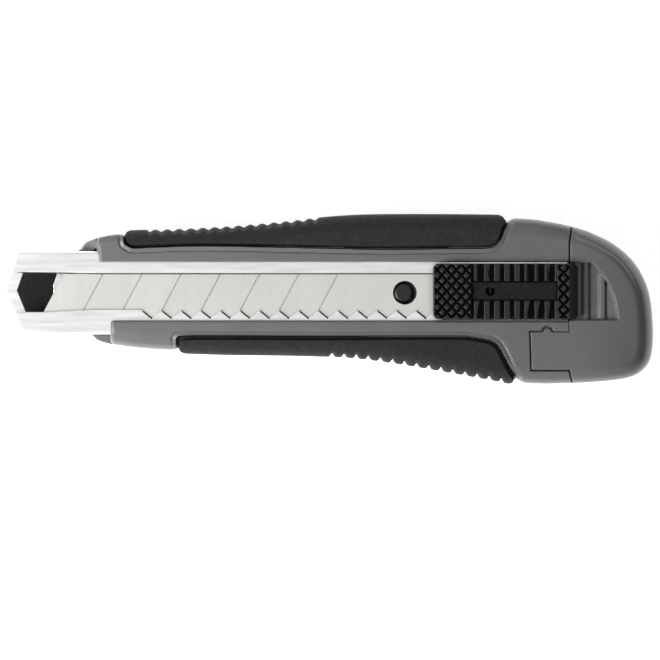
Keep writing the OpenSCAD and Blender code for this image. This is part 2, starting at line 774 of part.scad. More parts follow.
module thumb_slider() {
    high_y = slider_low_y + slider_w;
    color([0.11, 0.11, 0.12]) difference() {
        union() {
            intersection() {
                // The side view
                translate([0, high_y + cut, 0]) rotate([90, 0, 0])
                    linear_extrude(slider_w + 2 * cut) polygon([
                        [slider_x, slider_z], [slider_x, pad_z - edge_bevel],
                        [slider_x + edge_bevel, pad_z],
                        [ribs_x, pad_z], [ribs_x, rib_z], [ribs_x + ribs_l, rib_z],
                        [ribs_x + ribs_l, pad_z], [slider_end_x - end_slope_l, pad_z],
                        [slider_end_x, slider_z + edge_bevel], [slider_end_x, slider_z],
                    ]);
                // The plan
                translate([slider_x + corner_r, slider_low_y + corner_r, slider_z])
                    linear_extrude(slider_h + pad_rise + cut) union() {
                        translate([-corner_r, 0])
                            square([slider_l, slider_w - 2 * corner_r]);
                        translate([0, -corner_r])
                            square([slider_l - 2 * corner_r, slider_w]);
                        for (x = [0, slider_l - 2 * corner_r], y = [0, slider_w - 2 * corner_r])
                            translate([x, y]) circle(r = corner_r, $fn = 32);
                    }
            }
            // The finger that lifts the lock
            translate([finger_x, finger_y, lock_z])
                cylinder(r = finger_r, h = pocket_top_z - carrier_top_z, $fn = 24);
        }
        // The grooves between the ribs
        for (k = [0 : slider_ribs - 1]) {
            block([ribs_x + k * rib_pitch, slider_low_y - cut, rib_z - rib_groove_d],
                [ribs_x + (k + 1) * rib_pitch - rib_l, high_y + cut, rib_z + cut]);
        }
        // The seat of the smooth plate
        block([ribs_x, window_mid_y - plate_w / 2 - fit_gap, plate_z - plate_t - fit_gap],
            [ribs_x + ribs_l, window_mid_y + plate_w / 2 + fit_gap, rib_z + cut]);
        // The slot for the rail's head, and the narrow one for its web
        block([rail_x - run_gap, rail_y - rail_head_w / 2 - run_gap, rail_head_z - run_gap],
            [pocket_end_x, rail_y + rail_head_w / 2 + run_gap, pocket_top_z]);
        block([rail_x - run_gap, rail_y - rail_web_w / 2 - run_gap, slider_z - cut],
            [pocket_end_x, rail_y + rail_web_w / 2 + run_gap, rail_head_z]);
        // The hollow over the lock, which leaves its finger standing
        difference() {
            block([lock_x - notch_pitch / 2, lower_lip_y - run_gap, slider_z - cut],
                [pin_x + lock_eye_d / 2 + release_travel + clear_gap, wall_y - clear_gap,
                    pocket_top_z]);
            translate([finger_x, finger_y, 0]) cylinder(r = finger_r, h = casing_t, $fn = 24);
        }
    }
}

module slider_plate() {
    color([0.15, 0.15, 0.16]) difference() {
        block([ribs_x + fit_gap, window_mid_y - plate_w / 2, plate_z - plate_t],
            [ribs_x + ribs_l - fit_gap, window_mid_y + plate_w / 2, plate_z]);
        translate([ribs_x + plate_hole_x, window_mid_y, plate_z - plate_t - cut])
            cylinder(d = plate_hole_d, h = plate_t + 2 * cut, $fn = 32);
    }
}

module cap_recess() {
    translate([0, 0, recess_z]) linear_extrude(casing_t) intersection() {
        translate([cap_x - recess_ahead, window_low_y]) circle(r = recess_r, $fn = 96);
        translate([cap_x - cut, window_low_y]) square([big, window_w]);
    }
}

module end_cap() {
    prong_y = store_half_w / 2;
    prong_low_z = store_z + fit_gap + 2 * spare_step + clear_gap;
    prong_high_z = seam_z - clear_gap;
    color([0.42, 0.42, 0.41]) {
        difference() {
            intersection() {
                casing_blank();
                union() {
                    behind(cap_x + part_gap);
                    tongue_shape(0);
                }
            }
            cap_recess();
            // The hollow inside, open towards the casing
            intersection() {
                slab(inset(body_outline, cap_wall), cap_wall, recess_z - cap_wall,
                    back_edge_r, back_edge_r);
                behind(cap_x - cut);
            }
        }
        for (side = [-1, 1]) {
            low_y = side * prong_y - prong_t / 2;
            block([cap_x - prong_l, low_y, prong_low_z],
                [cap_x + cap_l / 2, low_y + prong_t, prong_high_z]);
            block([cap_x + part_gap, low_y, cap_wall - fit_gap],
                [cap_x + cap_l / 2, low_y + prong_t, recess_z - cap_wall + fit_gap]);
        }
        // The two steps in the thumb recess
        intersection() {
            cap_recess();
            for (k = [1, 2]) {
                step_x = cap_x + recess_flat + k * recess_step_l;
                translate([step_x, window_low_y + window_w, recess_z - fit_gap])
                    rotate([90, 0, 0]) linear_extrude(window_w) polygon([
                        [-recess_step_l / 2, 0], [0, recess_step_h + fit_gap], [0, 0],
                    ]);
            }
        }
    }
}

casing_back();
casing_front();
upper_grip_back();
upper_grip_front();
lower_grip_back();
lower_grip_front();
blade_channel();
nose_insert();
casing_screws();
spare_blade_lower();
spare_blade_upper();
blade();
blade_carrier();
return_spring();
lock_lever();
lock_pin();
lock_leaf();
thumb_slider();
slider_plate();
end_cap();
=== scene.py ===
import math

import bpy
import numpy as np
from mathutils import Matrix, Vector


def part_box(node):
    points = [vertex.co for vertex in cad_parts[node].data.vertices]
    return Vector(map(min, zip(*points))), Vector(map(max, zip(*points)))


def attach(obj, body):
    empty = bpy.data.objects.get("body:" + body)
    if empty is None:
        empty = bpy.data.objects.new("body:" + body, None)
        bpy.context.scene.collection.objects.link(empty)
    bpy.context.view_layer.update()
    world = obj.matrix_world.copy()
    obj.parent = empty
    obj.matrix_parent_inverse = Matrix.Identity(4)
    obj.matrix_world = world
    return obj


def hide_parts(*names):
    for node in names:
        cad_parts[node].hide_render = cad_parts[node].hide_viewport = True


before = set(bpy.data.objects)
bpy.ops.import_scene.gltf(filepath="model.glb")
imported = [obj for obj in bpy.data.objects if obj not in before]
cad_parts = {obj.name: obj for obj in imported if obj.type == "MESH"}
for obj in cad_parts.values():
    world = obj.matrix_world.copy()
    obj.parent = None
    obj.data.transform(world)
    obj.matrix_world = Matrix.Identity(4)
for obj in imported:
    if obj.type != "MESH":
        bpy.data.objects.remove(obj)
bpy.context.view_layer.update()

import openvdb
from mathutils import Vector
from mathutils.geometry import delaunay_2d_cdt

# A snap-off utility knife. Lengths are in millimetres up to the point where a mesh is made,
# in the frame of the CAD part: X from nose to tail, Y across the blade, Z out of the front.
# Most pieces are solids given as a field, which is negative inside and close to the distance
# from the surface; their surface is then laid with a mesh.

MM = 0.001


def box_mm(name):
    """The lowest and the highest corner of a CAD node, in millimetres."""
    low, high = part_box(name)
    return [v / MM for v in low], [v / MM for v in high]


# ---- sizes, read from the frame ----

CHANNEL_LOW, CHANNEL_HIGH = box_mm("blade_channel")
NOSE_X = CHANNEL_LOW[0]
CHANNEL_END_X = CHANNEL_HIGH[0]
HALF_W = CHANNEL_HIGH[1]
CHANNEL_Z = CHANNEL_LOW[2]
CHANNEL_TOP = CHANNEL_HIGH[2]
SHEET_T = 0.7
LIP_Z = CHANNEL_TOP - SHEET_T
CHANNEL_FLOOR = CHANNEL_Z + SHEET_T
UPPER_LIP_Y = HALF_W - 5.57
LOWER_LIP_Y = 6.5 - HALF_W
NOTCH_PITCH = 5
NOTCH_DEPTH = 2
NOTCHES = 19
NOSE_UPPER_L = 3.5
NOSE_LOWER_L = 4.6
NOSE_RIM = 3
NOSE_TIP_Y = 0.6

BACK_LOW, BACK_HIGH = box_mm("casing_back")
FRONT_LOW, FRONT_HIGH = box_mm("casing_front")
CASING_X = BACK_LOW[0]
CAP_X = FRONT_HIGH[0]
TAIL_X = box_mm("end_cap")[1][0]
BODY_L = TAIL_X - CASING_X
CASING_T = FRONT_HIGH[2]
SEAM_Z = BACK_HIGH[2]
UPPER_END_X = FRONT_LOW[0]
LOWER_END_X = UPPER_END_X + 3
WINDOW_W = 14.9
WINDOW_MID_Y = 0.45
WINDOW_LOW_Y = WINDOW_MID_Y - WINDOW_W / 2
WINDOW_HIGH_Y = WINDOW_LOW_Y + WINDOW_W - 0.15

GRIP_TOP = box_mm("upper_grip_front")[1][2]
GRIP_T = 2.4
GRIP_PROUD = 0.8

# Clearances: of pieces that sit together, of pieces that run on each other, round the end cap
FIT_GAP = 0.1
RUN_GAP = 0.15
PART_GAP = 0.3

# Rounded edges, from cut sheet to thick mouldings
EDGE_CUT = 0.05
EDGE_FINE = 0.1
EDGE_CRISP = 0.12
EDGE_THIN = 0.15
EDGE_MOULD = 0.2
EDGE_THICK = 0.3

# Lengths that run past the end of what is cut
BEYOND = 9
FAR = 30

SLIDER_LOW, SLIDER_HIGH = box_mm("thumb_slider")
SLIDER_X = SLIDER_LOW[0]
SLIDER_END_X = SLIDER_HIGH[0]
SLIDER_LOW_Y = SLIDER_LOW[1] - 0.2
SLIDER_HIGH_Y = SLIDER_HIGH[1]
SLIDER_Z = CHANNEL_TOP + RUN_GAP
PAD_Z = SLIDER_HIGH[2]
RIB_Z = PAD_Z - 0.5
RIBS_X = SLIDER_X + 9.8
RIBS_END_X = SLIDER_END_X - 4.9
RIB_COUNT = 8
RIB_L = 1.5
RIB_GROOVE = 1.75
RIB_BACK = 0.5
RIB_PITCH = (RIBS_END_X - RIBS_X - 1.3) / RIB_COUNT

PLATE_LOW, PLATE_HIGH = box_mm("slider_plate")
BLADE_LOW, BLADE_HIGH = box_mm("blade")
CARRIER_LOW, CARRIER_HIGH = box_mm("blade_carrier")
PIN_LOW, PIN_HIGH = box_mm("lock_pin")
PIN_X = (PIN_LOW[0] + PIN_HIGH[0]) / 2
LOCK_X = (SLIDER_X + SLIDER_END_X) / 2
HOLE_FROM_END = 9.6
STUD_X = BLADE_HIGH[0] - HOLE_FROM_END

TONGUE_L = 9.8
TONGUE_W = 9.7
TONGUE_Z = CASING_T - 3
TONGUE_HIGH_Y = WINDOW_LOW_Y - 3

# Outlines, each point as the percent of the body's length behind the casing's front end and
# the height beyond the channel's edge as the percent of the channel's width.
UPPER_EDGE = [
    (0, 2.5), (0.8, 10), (2, 14), (4.3, 18.5), (8, 21.5), (16, 23), (26, 26.5), (36, 32.5), (44, 38.5),
    (52, 41), (66, 41), (77, 39.5), (81.5, 36), (86, 29.5), (89.5, 21.5), (93.6, 6.5),
]
TAIL_EDGE = [(97, -16), (99.2, -47), (100, -87), (99.8, -122.5), (98.6, -140.5), (96, -151.6)]
LOWER_EDGE = [
    (91.4, -56.6), (84, -59.3), (77.5, -58.5), (70, -49.5), (58, -35), (48, -25.5), (38, -22.5),
    (24, -21), (12, -17.5), (5.5, -12), (3, -7), (2.1, -1.5),
]
UPPER_GRIP = [
    (7.6, 13), (7.6, 25.5), (8.1, 31), (18, 32), (30, 37.5), (41, 44.5), (44.5, 49),
    (56, 50), (66, 49), (73, 44.5), (74.4, 35),
    (74, 26.5), (73.4, 13.5), (72.5, 6.8), (70.6, 3.8), (64, 3.2), (52, 2.5), (38, 4.5), (22, 6.5),
    (13, 5),
    (9.4, 4), (8.2, 7),
]
LOWER_GRIP = [
    (16.8, -10.5), (17, -4), (18, -2), (23, -1.5), (43, -2), (59, -1.5), (66.5, -1.5),
    (69.5, -4), (71.8, -7.5), (73.2, -16), (74.6, -35), (76, -56.5), (75.6, -68),
    (70.4, -63), (62, -51), (53, -39.5), (45, -34), (36, -32), (24, -30),
    (19.6, -28.5), (17.4, -21.5),
]


# ---- camera ----

LENS = 1200
SENSOR_W = 36
VIEW_ROOM = 1.019
VIEW_W = (TAIL_X - NOSE_X) * VIEW_ROOM
VIEW_X = 0.2
VIEW_Y = -9.5
NEAREST = 10


def camera():
    """Looks straight down on the front face, from far away."""
    data = bpy.data.cameras.new("camera")
    data.lens = LENS
    data.sensor_width = SENSOR_W
    data.clip_start = NEAREST * MM
    made = bpy.data.objects.new("camera", data)
    height = CASING_T + VIEW_W * LENS / SENSOR_W
    made.location = (VIEW_X * MM, VIEW_Y * MM, height * MM)
    bpy.context.scene.collection.objects.link(made)
    bpy.context.scene.camera = made


camera()


# ---- outlines ----

PERCENT = 100


def placed(points, side):
    """Outline points in millimetres."""
    edge = side * HALF_W
    return [(CASING_X + x / PERCENT * BODY_L, edge + y / PERCENT * 2 * HALF_W) for x, y in points]


def curve_point(a, b, c, d, t):
    """A point of a curve that runs from b to c and heads for a and d beyond them."""
    a, b, c, d = (np.array(p, float) for p in (a, b, c, d))
    bend = (2 * a - 5 * b + 4 * c - d) * t * t + (3 * b - a - 3 * c + d) * t ** 3
    return 0.5 * (2 * b + (c - a) * t + bend)


def smooth(points, closed, steps=8):
    """A smooth outline through the points."""
    count = len(points)
    last = count if closed else count - 1
    made = []
    for i in range(last):
        around = [i - 1, i, i + 1, i + 2]
        if closed:
            around = [k % count for k in around]
        else:
            around = [min(max(k, 0), count - 1) for k in around]
        corners = [points[k] for k in around]
        made += [tuple(curve_point(*corners, k / steps)) for k in range(steps)]
    if not closed:
        made.append(tuple(points[-1]))
    return made


TINY = 1e-12


def outline_distance(points, x, y):
    """Distance from a closed outline, negative inside."""
    nearest = np.full(np.broadcast(x, y).shape, np.inf)
    inside = np.zeros(nearest.shape, bool)
    for (ax, ay), (bx, by) in zip(points, points[1:] + points[:1]):
        ex = bx - ax
        ey = by - ay
        along = ((x - ax) * ex + (y - ay) * ey) / (ex * ex + ey * ey + TINY)
        along = np.clip(along, 0, 1)
        nearest = np.minimum(nearest, (x - ax - along * ex) ** 2 + (y - ay - along * ey) ** 2)
        if ay != by:
            crossing = (ay > y) != (by > y)
            inside ^= crossing & (x < ax + (y - ay) * ex / ey)
    return np.where(inside, -1, 1) * np.sqrt(nearest)


GRID_END = 1.001


def outline_map(points, step=0.25, margin=8):
    """The same distance, read from a fine grid. Past the grid's edge it stays the same."""
    low = np.min(points, axis=0) - margin
    high = np.max(points, axis=0) + margin
    columns = np.arange(low[0], high[0], step).reshape(-1, 1)
    rows = np.arange(low[1], high[1], step).reshape(1, -1)
    values = outline_distance(points, columns, rows)
    last = np.array(values.shape) - GRID_END

    def distance(x, y):
        u = np.clip((x - low[0]) / step, 0, last[0])
        v = np.clip((y - low[1]) / step, 0, last[1])
        i = u.astype(int)
        j = v.astype(int)
        a = u - i
        b = v - j
        near = values[i, j] * (1 - a) + values[i + 1, j] * a
        far = values[i, j + 1] * (1 - a) + values[i + 1, j + 1] * a
        return near * (1 - b) + far * b

    return distance


TIP_AHEAD = 0.7
TIP_DROP = 0.2


def body_map():
    """The distance from the casing's outline, with both front tips drawn out a little."""
    points = placed(UPPER_EDGE, 1) + placed(TAIL_EDGE, 1) + placed(LOWER_EDGE, -1)
    points = smooth(points, False)
    first = (points[0][0] - TIP_AHEAD, points[0][1] - TIP_DROP)
    last = (points[-1][0] - TIP_AHEAD / 2, points[-1][1])
    return outline_map([first] + points + [last])


BODY = body_map()
OUTSIDE = 3


def grip_map(points, side):
    """The distance from a grip's outline, whose outer part lies well outside the casing."""
    moved = []
    for x, y in placed(points, side):
        outer = BODY(np.array(x), np.array(y)) > 0
        moved.append((x, y + OUTSIDE * side * outer))
    return outline_map(smooth(moved, True))


UPPER = grip_map(UPPER_GRIP, 1)
LOWER = grip_map(LOWER_GRIP, -1)


# ---- fields ----

def meet(a, b, radius=0.0):
    """What two solids share, with a rounded edge between them."""
    if np.isscalar(radius) and not radius:
        return np.maximum(a, b)
    u = a + radius
    v = b + radius
    edge = np.hypot(np.maximum(u, 0), np.maximum(v, 0))
    return np.minimum(np.maximum(u, v), 0) + edge - radius


def carve(a, b, radius=0.0):
    """The first solid without the second."""
    return meet(a, -b, radius)


def join(a, b, radius=0.0):
    """Both solids, with a fillet between them."""
    return -meet(-a, -b, radius)


def span(v, low, high):
    """A stretch along one axis."""
    return np.maximum(low - v, v - high)


def cuboid(p, low, high, radius=0.0):
    x, y, z = p
    side = meet(span(x, low[0], high[0]), span(y, low[1], high[1]), radius)
    return meet(side, span(z, low[2], high[2]), radius)


def rod(p, centre, radius, low, high, edge=0.0):
    """A round bar along Z."""
    x, y, z = p
    return meet(np.hypot(x - centre[0], y - centre[1]) - radius, span(z, low, high), edge)


def plate(flat, z, low, high, low_r, high_r):
    """A plate of an outline, with both its edges rounded."""
    return np.maximum(meet(flat, low - z, low_r), meet(flat, z - high, high_r))


# ---- casing ----

FRONT_EDGE_R = 4.3
UPPER_FRONT_R = 1.8
FRONT_R_START = 25
FRONT_R_L = 50
BACK_EDGE_R = 2.6


def front_edge(x, y):
    """The radius of the casing's front edge, which is smaller at the upper front end."""
    way = np.clip((x - CASING_X - FRONT_R_START) / FRONT_R_L, 0, 1)
    upper = UPPER_FRONT_R + (FRONT_EDGE_R - UPPER_FRONT_R) * way
    return np.where(y > 0, upper, FRONT_EDGE_R)


DIP_D = 1.2
FRONT_DIP_D = DIP_D / 4
DIP_L = 2.6


def casing_outline(x, y):
    """The casing's outline, which dips at the ends of the grips, most at their rear ends."""
    away = np.minimum(UPPER(x, y), LOWER(x, y))
    depth = np.where(x < 0, FRONT_DIP_D, DIP_D)
    return BODY(x, y) + depth * np.clip(1 - away / DIP_L, 0, 1) ** 2


def blank(p, rise=0.0):
    """The knife's whole casing, as if it were solid, with its front face raised."""
    x, y, z = p
    flat = casing_outline(x, y)
    return plate(flat, z - rise, -BEYOND, CASING_T, BACK_EDGE_R, front_edge(x, y))


def grip_bed(p, grow=0.0):
    """What lies under the grips."""
    x, y, z = p
    flat = BODY(x, y) + GRIP_T - GRIP_PROUD - grow
    return plate(flat, z, GRIP_T - grow, GRIP_TOP - GRIP_T + grow, BACK_EDGE_R, FRONT_EDGE_R)


RIM_W = 1.2
RIM_STEP_W = 0.3
RIM_STEP_D = 0.3
RIM_RISE = 0.4


def rim_height(x, y):
    """The rim round a grip's seat: a step down, then a slope that climbs to the grip."""
    away = np.minimum(UPPER(x, y), LOWER(x, y))
    step = RIM_STEP_D * np.clip((RIM_W + RIM_STEP_W - away) / RIM_STEP_W, 0, 1)
    climb = RIM_RISE * np.clip((RIM_W - away) / RIM_W, 0, 1)
    return climb - step


def with_grip_seats(solid, p):
    """Sinks the seats of both grips into a shell."""
    x, y = p[:2]
    bed = grip_bed(p)
    for outline in (UPPER, LOWER):
        away = outline(x, y)
        solid = carve(solid, np.maximum(away - FIT_GAP, -bed), EDGE_CRISP)
    return solid


FRONT_LEAN = 0.12
FRONT_AHEAD = 0.1


def front_end(y):
    """Where the front shell ends, above and below the channel."""
    upper = UPPER_END_X + FRONT_AHEAD - (y - WINDOW_HIGH_Y) * FRONT_LEAN
    return np.where(y > 0, upper, LOWER_END_X)


CHEEK_LOW = 1.6
CHEEK_RISE = 3.6
CHEEK_DROP = 1.2
CHEEK_ROOM = CHEEK_LOW + CHEEK_RISE + 0.5
CHEEK_LAP = 0.15
CHEEK_STEEP = 1.15
UPPER_CHEEK_R = 0.7
LOWER_CHEEK_R = 0.35
CHEEK_HOLE = (UPPER_END_X - 0.8, HALF_W + 0.4)
CHEEK_HOLE_R = 0.35


def cheeks(p):
    """The pointed fronts of both sides. The upper one slopes up to the front shell, and has a
    small hole beside the channel; the lower one slopes down a little."""
    x, y, z = p
    end_x = front_end(y) + CHEEK_LAP
    way = np.clip((x - CASING_X) / (end_x - CASING_X), 0, 1)
    top = SEAM_Z + CHEEK_LOW + np.where(y > 0, CHEEK_RISE, -CHEEK_DROP) * way
    edge_r = np.where(y > 0, UPPER_CHEEK_R, LOWER_CHEEK_R)
    shape = meet(BODY(x, y), (z - top) / CHEEK_STEEP, edge_r)
    shape = np.maximum(shape, span(z, SEAM_Z - 1, CASING_T))
    shape = np.maximum(shape, np.maximum(x - end_x, HALF_W + FIT_GAP - np.abs(y)))
    return carve(shape, rod(p, CHEEK_HOLE, CHEEK_HOLE_R, 2, CASING_T), EDGE_FINE)


RIM_STEEP = 1.1
SPARE_X = box_mm("spare_blade_lower")[0][0]
STORE_HALF_W = 9.4
STORE_FLOOR = 2
STORE_EDGE_R = 0.5
STORE_RAIL_TOP = box_mm("spare_blade_lower")[0][2] - FIT_GAP
STORE_RAIL_HALF_W = 0.7
STORE_RAIL_PLACES = (-0.7, 0, 0.7)
STORE_RAIL_END_X = CAP_X - 10
SCREW_LOW, SCREW_HIGH = box_mm("casing_screws")
SCREW_X = CAP_X - 5.8
SCREW_PLACES = [(SCREW_X, HALF_W + 3.2), (SCREW_X, TONGUE_HIGH_Y - TONGUE_W / 2)]
SCREW_HEAD_R = SCREW_HIGH[0] - SCREW_X
SCREW_SEAT_Z = 2
SCREW_HOLE_EDGE_R = 0.25


def casing_back(*p):
    x, y, z = p
    solid = plate(casing_outline(x, y), z, 0, CASING_T, BACK_EDGE_R, front_edge(x, y))
    solid = np.maximum(solid, (-z - np.minimum(rim_height(x, y), 0)) / RIM_STEEP)
    solid = meet(solid, z - SEAM_Z, EDGE_MOULD)
    solid = meet(solid, split(p), EDGE_THIN)
    store = cuboid(p, (SPARE_X - 1, -STORE_HALF_W, STORE_FLOOR),
                   (CAP_X + BEYOND, STORE_HALF_W, FAR), STORE_EDGE_R)
    solid = carve(solid, store, EDGE_THIN)
    for place in STORE_RAIL_PLACES:
        middle = place * STORE_HALF_W
        rail = cuboid(p, (SPARE_X, middle - STORE_RAIL_HALF_W, STORE_FLOOR - FIT_GAP),
                      (STORE_RAIL_END_X, middle + STORE_RAIL_HALF_W, STORE_RAIL_TOP), EDGE_MOULD)
        solid = join(solid, rail, EDGE_THICK)
    solid = with_grip_seats(solid, p)
    for place in SCREW_PLACES:
        hole = rod(p, place, SCREW_HEAD_R + FIT_GAP, -BEYOND, SCREW_SEAT_Z)
        solid = carve(solid, hole, SCREW_HOLE_EDGE_R)
    return np.minimum(solid, cheeks(p))


UPPER_BEVEL_LEAN = 0.2
UPPER_BEVEL_W = 0.3
LOWER_BEVEL_W = 0.55


def window(p):
    """The slot in the front that the slider runs in. Its upper side is nearly upright, and its
    lower side has a bevel."""
    y, z = p[1:]
    across = span(y, WINDOW_LOW_Y, WINDOW_HIGH_Y)
    upper = y > WINDOW_MID_Y
    lean = np.where(upper, UPPER_BEVEL_LEAN, 1.0)
    wide = np.where(upper, UPPER_BEVEL_W, LOWER_BEVEL_W)
    bevel = (across + (CASING_T - z) * lean - wide) / np.hypot(1, lean)
    return np.minimum(np.maximum(across, LIP_Z - z), bevel)


UPPER_BEND = 0.5
UPPER_BEND_L = 4.4
LOWER_BEND = 0.7
LOWER_BEND_L = 2.9
REBATE = 0.6
REBATE_DOWN = 2
REBATE_RAMP = 0.5


def split(p):
    """How far a point lies behind the end cap's joint. It bends back at the sides, and has
    a rebate, so that nothing shows through it."""
    x, y, z = p
    bend = np.where(y > 0, UPPER_BEND, LOWER_BEND)
    length = np.where(y > 0, UPPER_BEND_L, LOWER_BEND_L)
    back = bend * np.clip(1 + BODY(x, y) / length, 0, 1)
    return x - CAP_X - back - REBATE * np.clip((SEAM_Z - REBATE_DOWN - z) / REBATE_RAMP, 0, 1)


DETENT_X = CAP_X - 5.5
DETENT_R = 1
DETENT_SIDE = 1.6
CLOSED_BY = 0.2
CLOSED_FADE = 0.3


def joint_gap(p):
    """The width of the joint round the end cap. Beside the detent it is nearly closed."""
    x, y = p[:2]
    strip = np.maximum(span(y, TONGUE_HIGH_Y - 0.5, WINDOW_LOW_Y), DETENT_X + DETENT_SIDE - x)
    near = np.clip(0.5 - strip / CLOSED_FADE, 0, 1)
    return PART_GAP - CLOSED_BY * near


TONGUE_SLANT = 0.03
DETENT_LIFT = 0.6
DETENT_ROOM = 1.4
CHANNEL_SKIN_T = 0.8


def tongue(p, grow):
    """The end cap's tongue, with its detent. Its tip is a little slanted."""
    x, y = p[:2]
    low = (CAP_X - TONGUE_L - grow, TONGUE_HIGH_Y - TONGUE_W - grow, TONGUE_Z - grow)
    high_y = TONGUE_HIGH_Y + grow * joint_gap(p) / PART_GAP
    shape = cuboid(p, low, (CAP_X + BEYOND, high_y, CASING_T + BEYOND))
    shape = np.maximum(shape, low[0] + (TONGUE_HIGH_Y - y) * TONGUE_SLANT - x)
    notch = (DETENT_X, TONGUE_HIGH_Y + grow * DETENT_LIFT)
    bump = rod(p, notch, DETENT_R + grow * DETENT_ROOM, TONGUE_Z - grow, CASING_T + BEYOND)
    steel = cuboid(p, (CAP_X - FAR, grow - PART_GAP - HALF_W, CHANNEL_Z),
                   (CAP_X + FAR, HALF_W, CHANNEL_TOP + CHANNEL_SKIN_T - grow))
    return carve(join(shape, bump, EDGE_MOULD), steel)


FRONT_END_R = 1.1
UPPER_CORNER_R = 0.6
LOWER_CORNER_R = 1.2
SCRIBE_UP = 0.7
SCRIBE_R = 0.12
SCRIBE_FLAT = 1.2
SCRIBE_START = 0.8
CHANNEL_BED_R = 0.8


def casing_front(*p):
    x, y, z = p
    solid = meet(blank(p, rim_height(x, y)), SEAM_Z + FIT_GAP - z, EDGE_MOULD)
    solid = meet(solid, split(p), EDGE_THIN)
    ends = front_end(y) - x
    solid = meet(solid, ends, FRONT_END_R)
    beside = -span(y, WINDOW_LOW_Y, WINDOW_HIGH_Y)
    corner = meet(ends, beside, np.where(y > 0, UPPER_CORNER_R, LOWER_CORNER_R))
    solid = meet(solid, corner, EDGE_MOULD)
    scribe = np.hypot(y - WINDOW_HIGH_Y - SCRIBE_UP, (z - CASING_T) / SCRIBE_FLAT) - SCRIBE_R
    solid = carve(solid, np.maximum(scribe, ends + SCRIBE_START), EDGE_CUT)
    bed = cuboid(p, (NOSE_X - BEYOND, -HALF_W - FIT_GAP, CHANNEL_Z - FIT_GAP),
                 (CAP_X + BEYOND, HALF_W + FIT_GAP, CHANNEL_TOP + FIT_GAP), CHANNEL_BED_R)
    solid = carve(solid, bed)
    solid = carve(solid, window(p), EDGE_THIN)
    solid = carve(solid, tongue(p, PART_GAP), EDGE_MOULD)
    return with_grip_seats(solid, p)


# ---- grips ----

WAVE_ENDS = 1
VALLEY_POWER = 1.9


def waves(x, low, high, first, pitch, depth, sharp):
    """How deep the waves of a grip's side are cut. Sharp waves have narrow valleys."""
    turn = np.pi * (x - first) / pitch
    soft = np.cos(turn) ** 2
    narrow = (1 - np.abs(np.sin(turn))) ** VALLEY_POWER
    ends = np.clip(np.minimum(x - low, high - x) / WAVE_ENDS, 0, 1)
    return depth * (sharp * narrow + (1 - sharp) * soft) * ends


# Where the waves start and end, a valley, their pitch, their depth and how sharp they are
UPPER_WAVES = (-46.8, -2.4, -45.9, 3.02, 0.62, 0.3)
LOWER_WAVES = (-1.2, 45.3, 0.7, 3.09, 1.25, 1.0)
WAVE_TOP = GRIP_TOP - 0.9
WAVE_FADE = 1.2
PAD_SIDE_R = 2
UPPER_LEDGE_W = 0.6
LOWER_LEDGE_W = 0.95
LEDGE_D = 2.0
LEDGE_IN = 0.4
LEDGE_REACH = 2.2
LEDGE_LEAST = 0.15


def grip(outline, ripple, ledge_w, front):
    """One half of a soft grip. A low ledge runs round its padded middle."""
    def field(*p):
        x, y, z = p
        side = np.clip((WAVE_TOP - z) / WAVE_FADE, 0, 1)
        flat = BODY(x, y) - GRIP_PROUD + waves(x, *ripple) * side
        away = outline(x, y)
        skin = plate(flat, z, 0, GRIP_TOP, BACK_EDGE_R, FRONT_EDGE_R)
        inner = np.clip((-flat - LEDGE_IN) / LEDGE_REACH, 0, 1)
        inset = ledge_w * np.maximum(inner, LEDGE_LEAST)
        pad = np.maximum(skin, meet(flat, away + inset, PAD_SIDE_R))
        pad = meet(pad, away + inset, EDGE_THICK)
        sunk = GRIP_PROUD + (LEDGE_D - GRIP_PROUD) * inner
        ledge = meet(skin + sunk, away, EDGE_THIN)
        solid = join(pad, ledge, EDGE_FINE)
        solid = carve(solid, grip_bed(p, FIT_GAP), EDGE_MOULD)
        seam = SEAM_Z + FIT_GAP - z if front else z - SEAM_Z
        return meet(solid, seam, EDGE_THIN)
    return field


# ---- blade channel ----

SHEAR_LEAN = 0.85
SHEAR_BACK = 0.15
UPPER_LEAN = 0.5
NOTCH_SLOPE = 0.7
FLARE_START = 3.5
FLARE_L = 13
UPPER_FLARE = 0.25
LOWER_FLARE = 0.65


def from_notch(x):
    """How far a place along the knife is from the middle of the nearest notch."""
    k = np.round((x - LOCK_X) / NOTCH_PITCH)
    return x - LOCK_X - np.clip(k, 1 - NOTCHES, 0) * NOTCH_PITCH


def notched(x, z):
    """The edge of the lower lip. The front flank of each notch leans out."""
    away = from_notch(x)
    rise = np.abs(away) / (NOTCH_PITCH / 2)
    lean = np.clip(z - LIP_Z, 0, SHEET_T) * SHEAR_LEAN * (away < 0)
    return LOWER_LIP_Y - NOTCH_DEPTH * np.maximum(1 - rise, 0) - lean * (rise < 1)


def flare(x):
    """How much the slot between the lips widens towards the nose, from 0 to 1."""
    return np.clip((CASING_X + FLARE_START - x) / FLARE_L, 0, 1)


def upper_edge(x, z):
    """The edge of the upper lip, which leans out like the notches."""
    lean = UPPER_LEAN * np.clip(CHANNEL_TOP - z, 0, SHEET_T)
    return UPPER_LIP_Y + UPPER_FLARE * flare(x) - lean


FLANK_START = -0.05
FLANK_END = 0.2 - NOTCH_PITCH / 2
FLANK_MIDDLE = 0.3
FLANK_HALF_W = 0.6
UPPER_SHEAR_X = NOSE_X + NOSE_RIM + 1.5
UPPER_SHEAR_HALF_W = 0.15
SHEAR_TOP = CHANNEL_TOP - 0.06


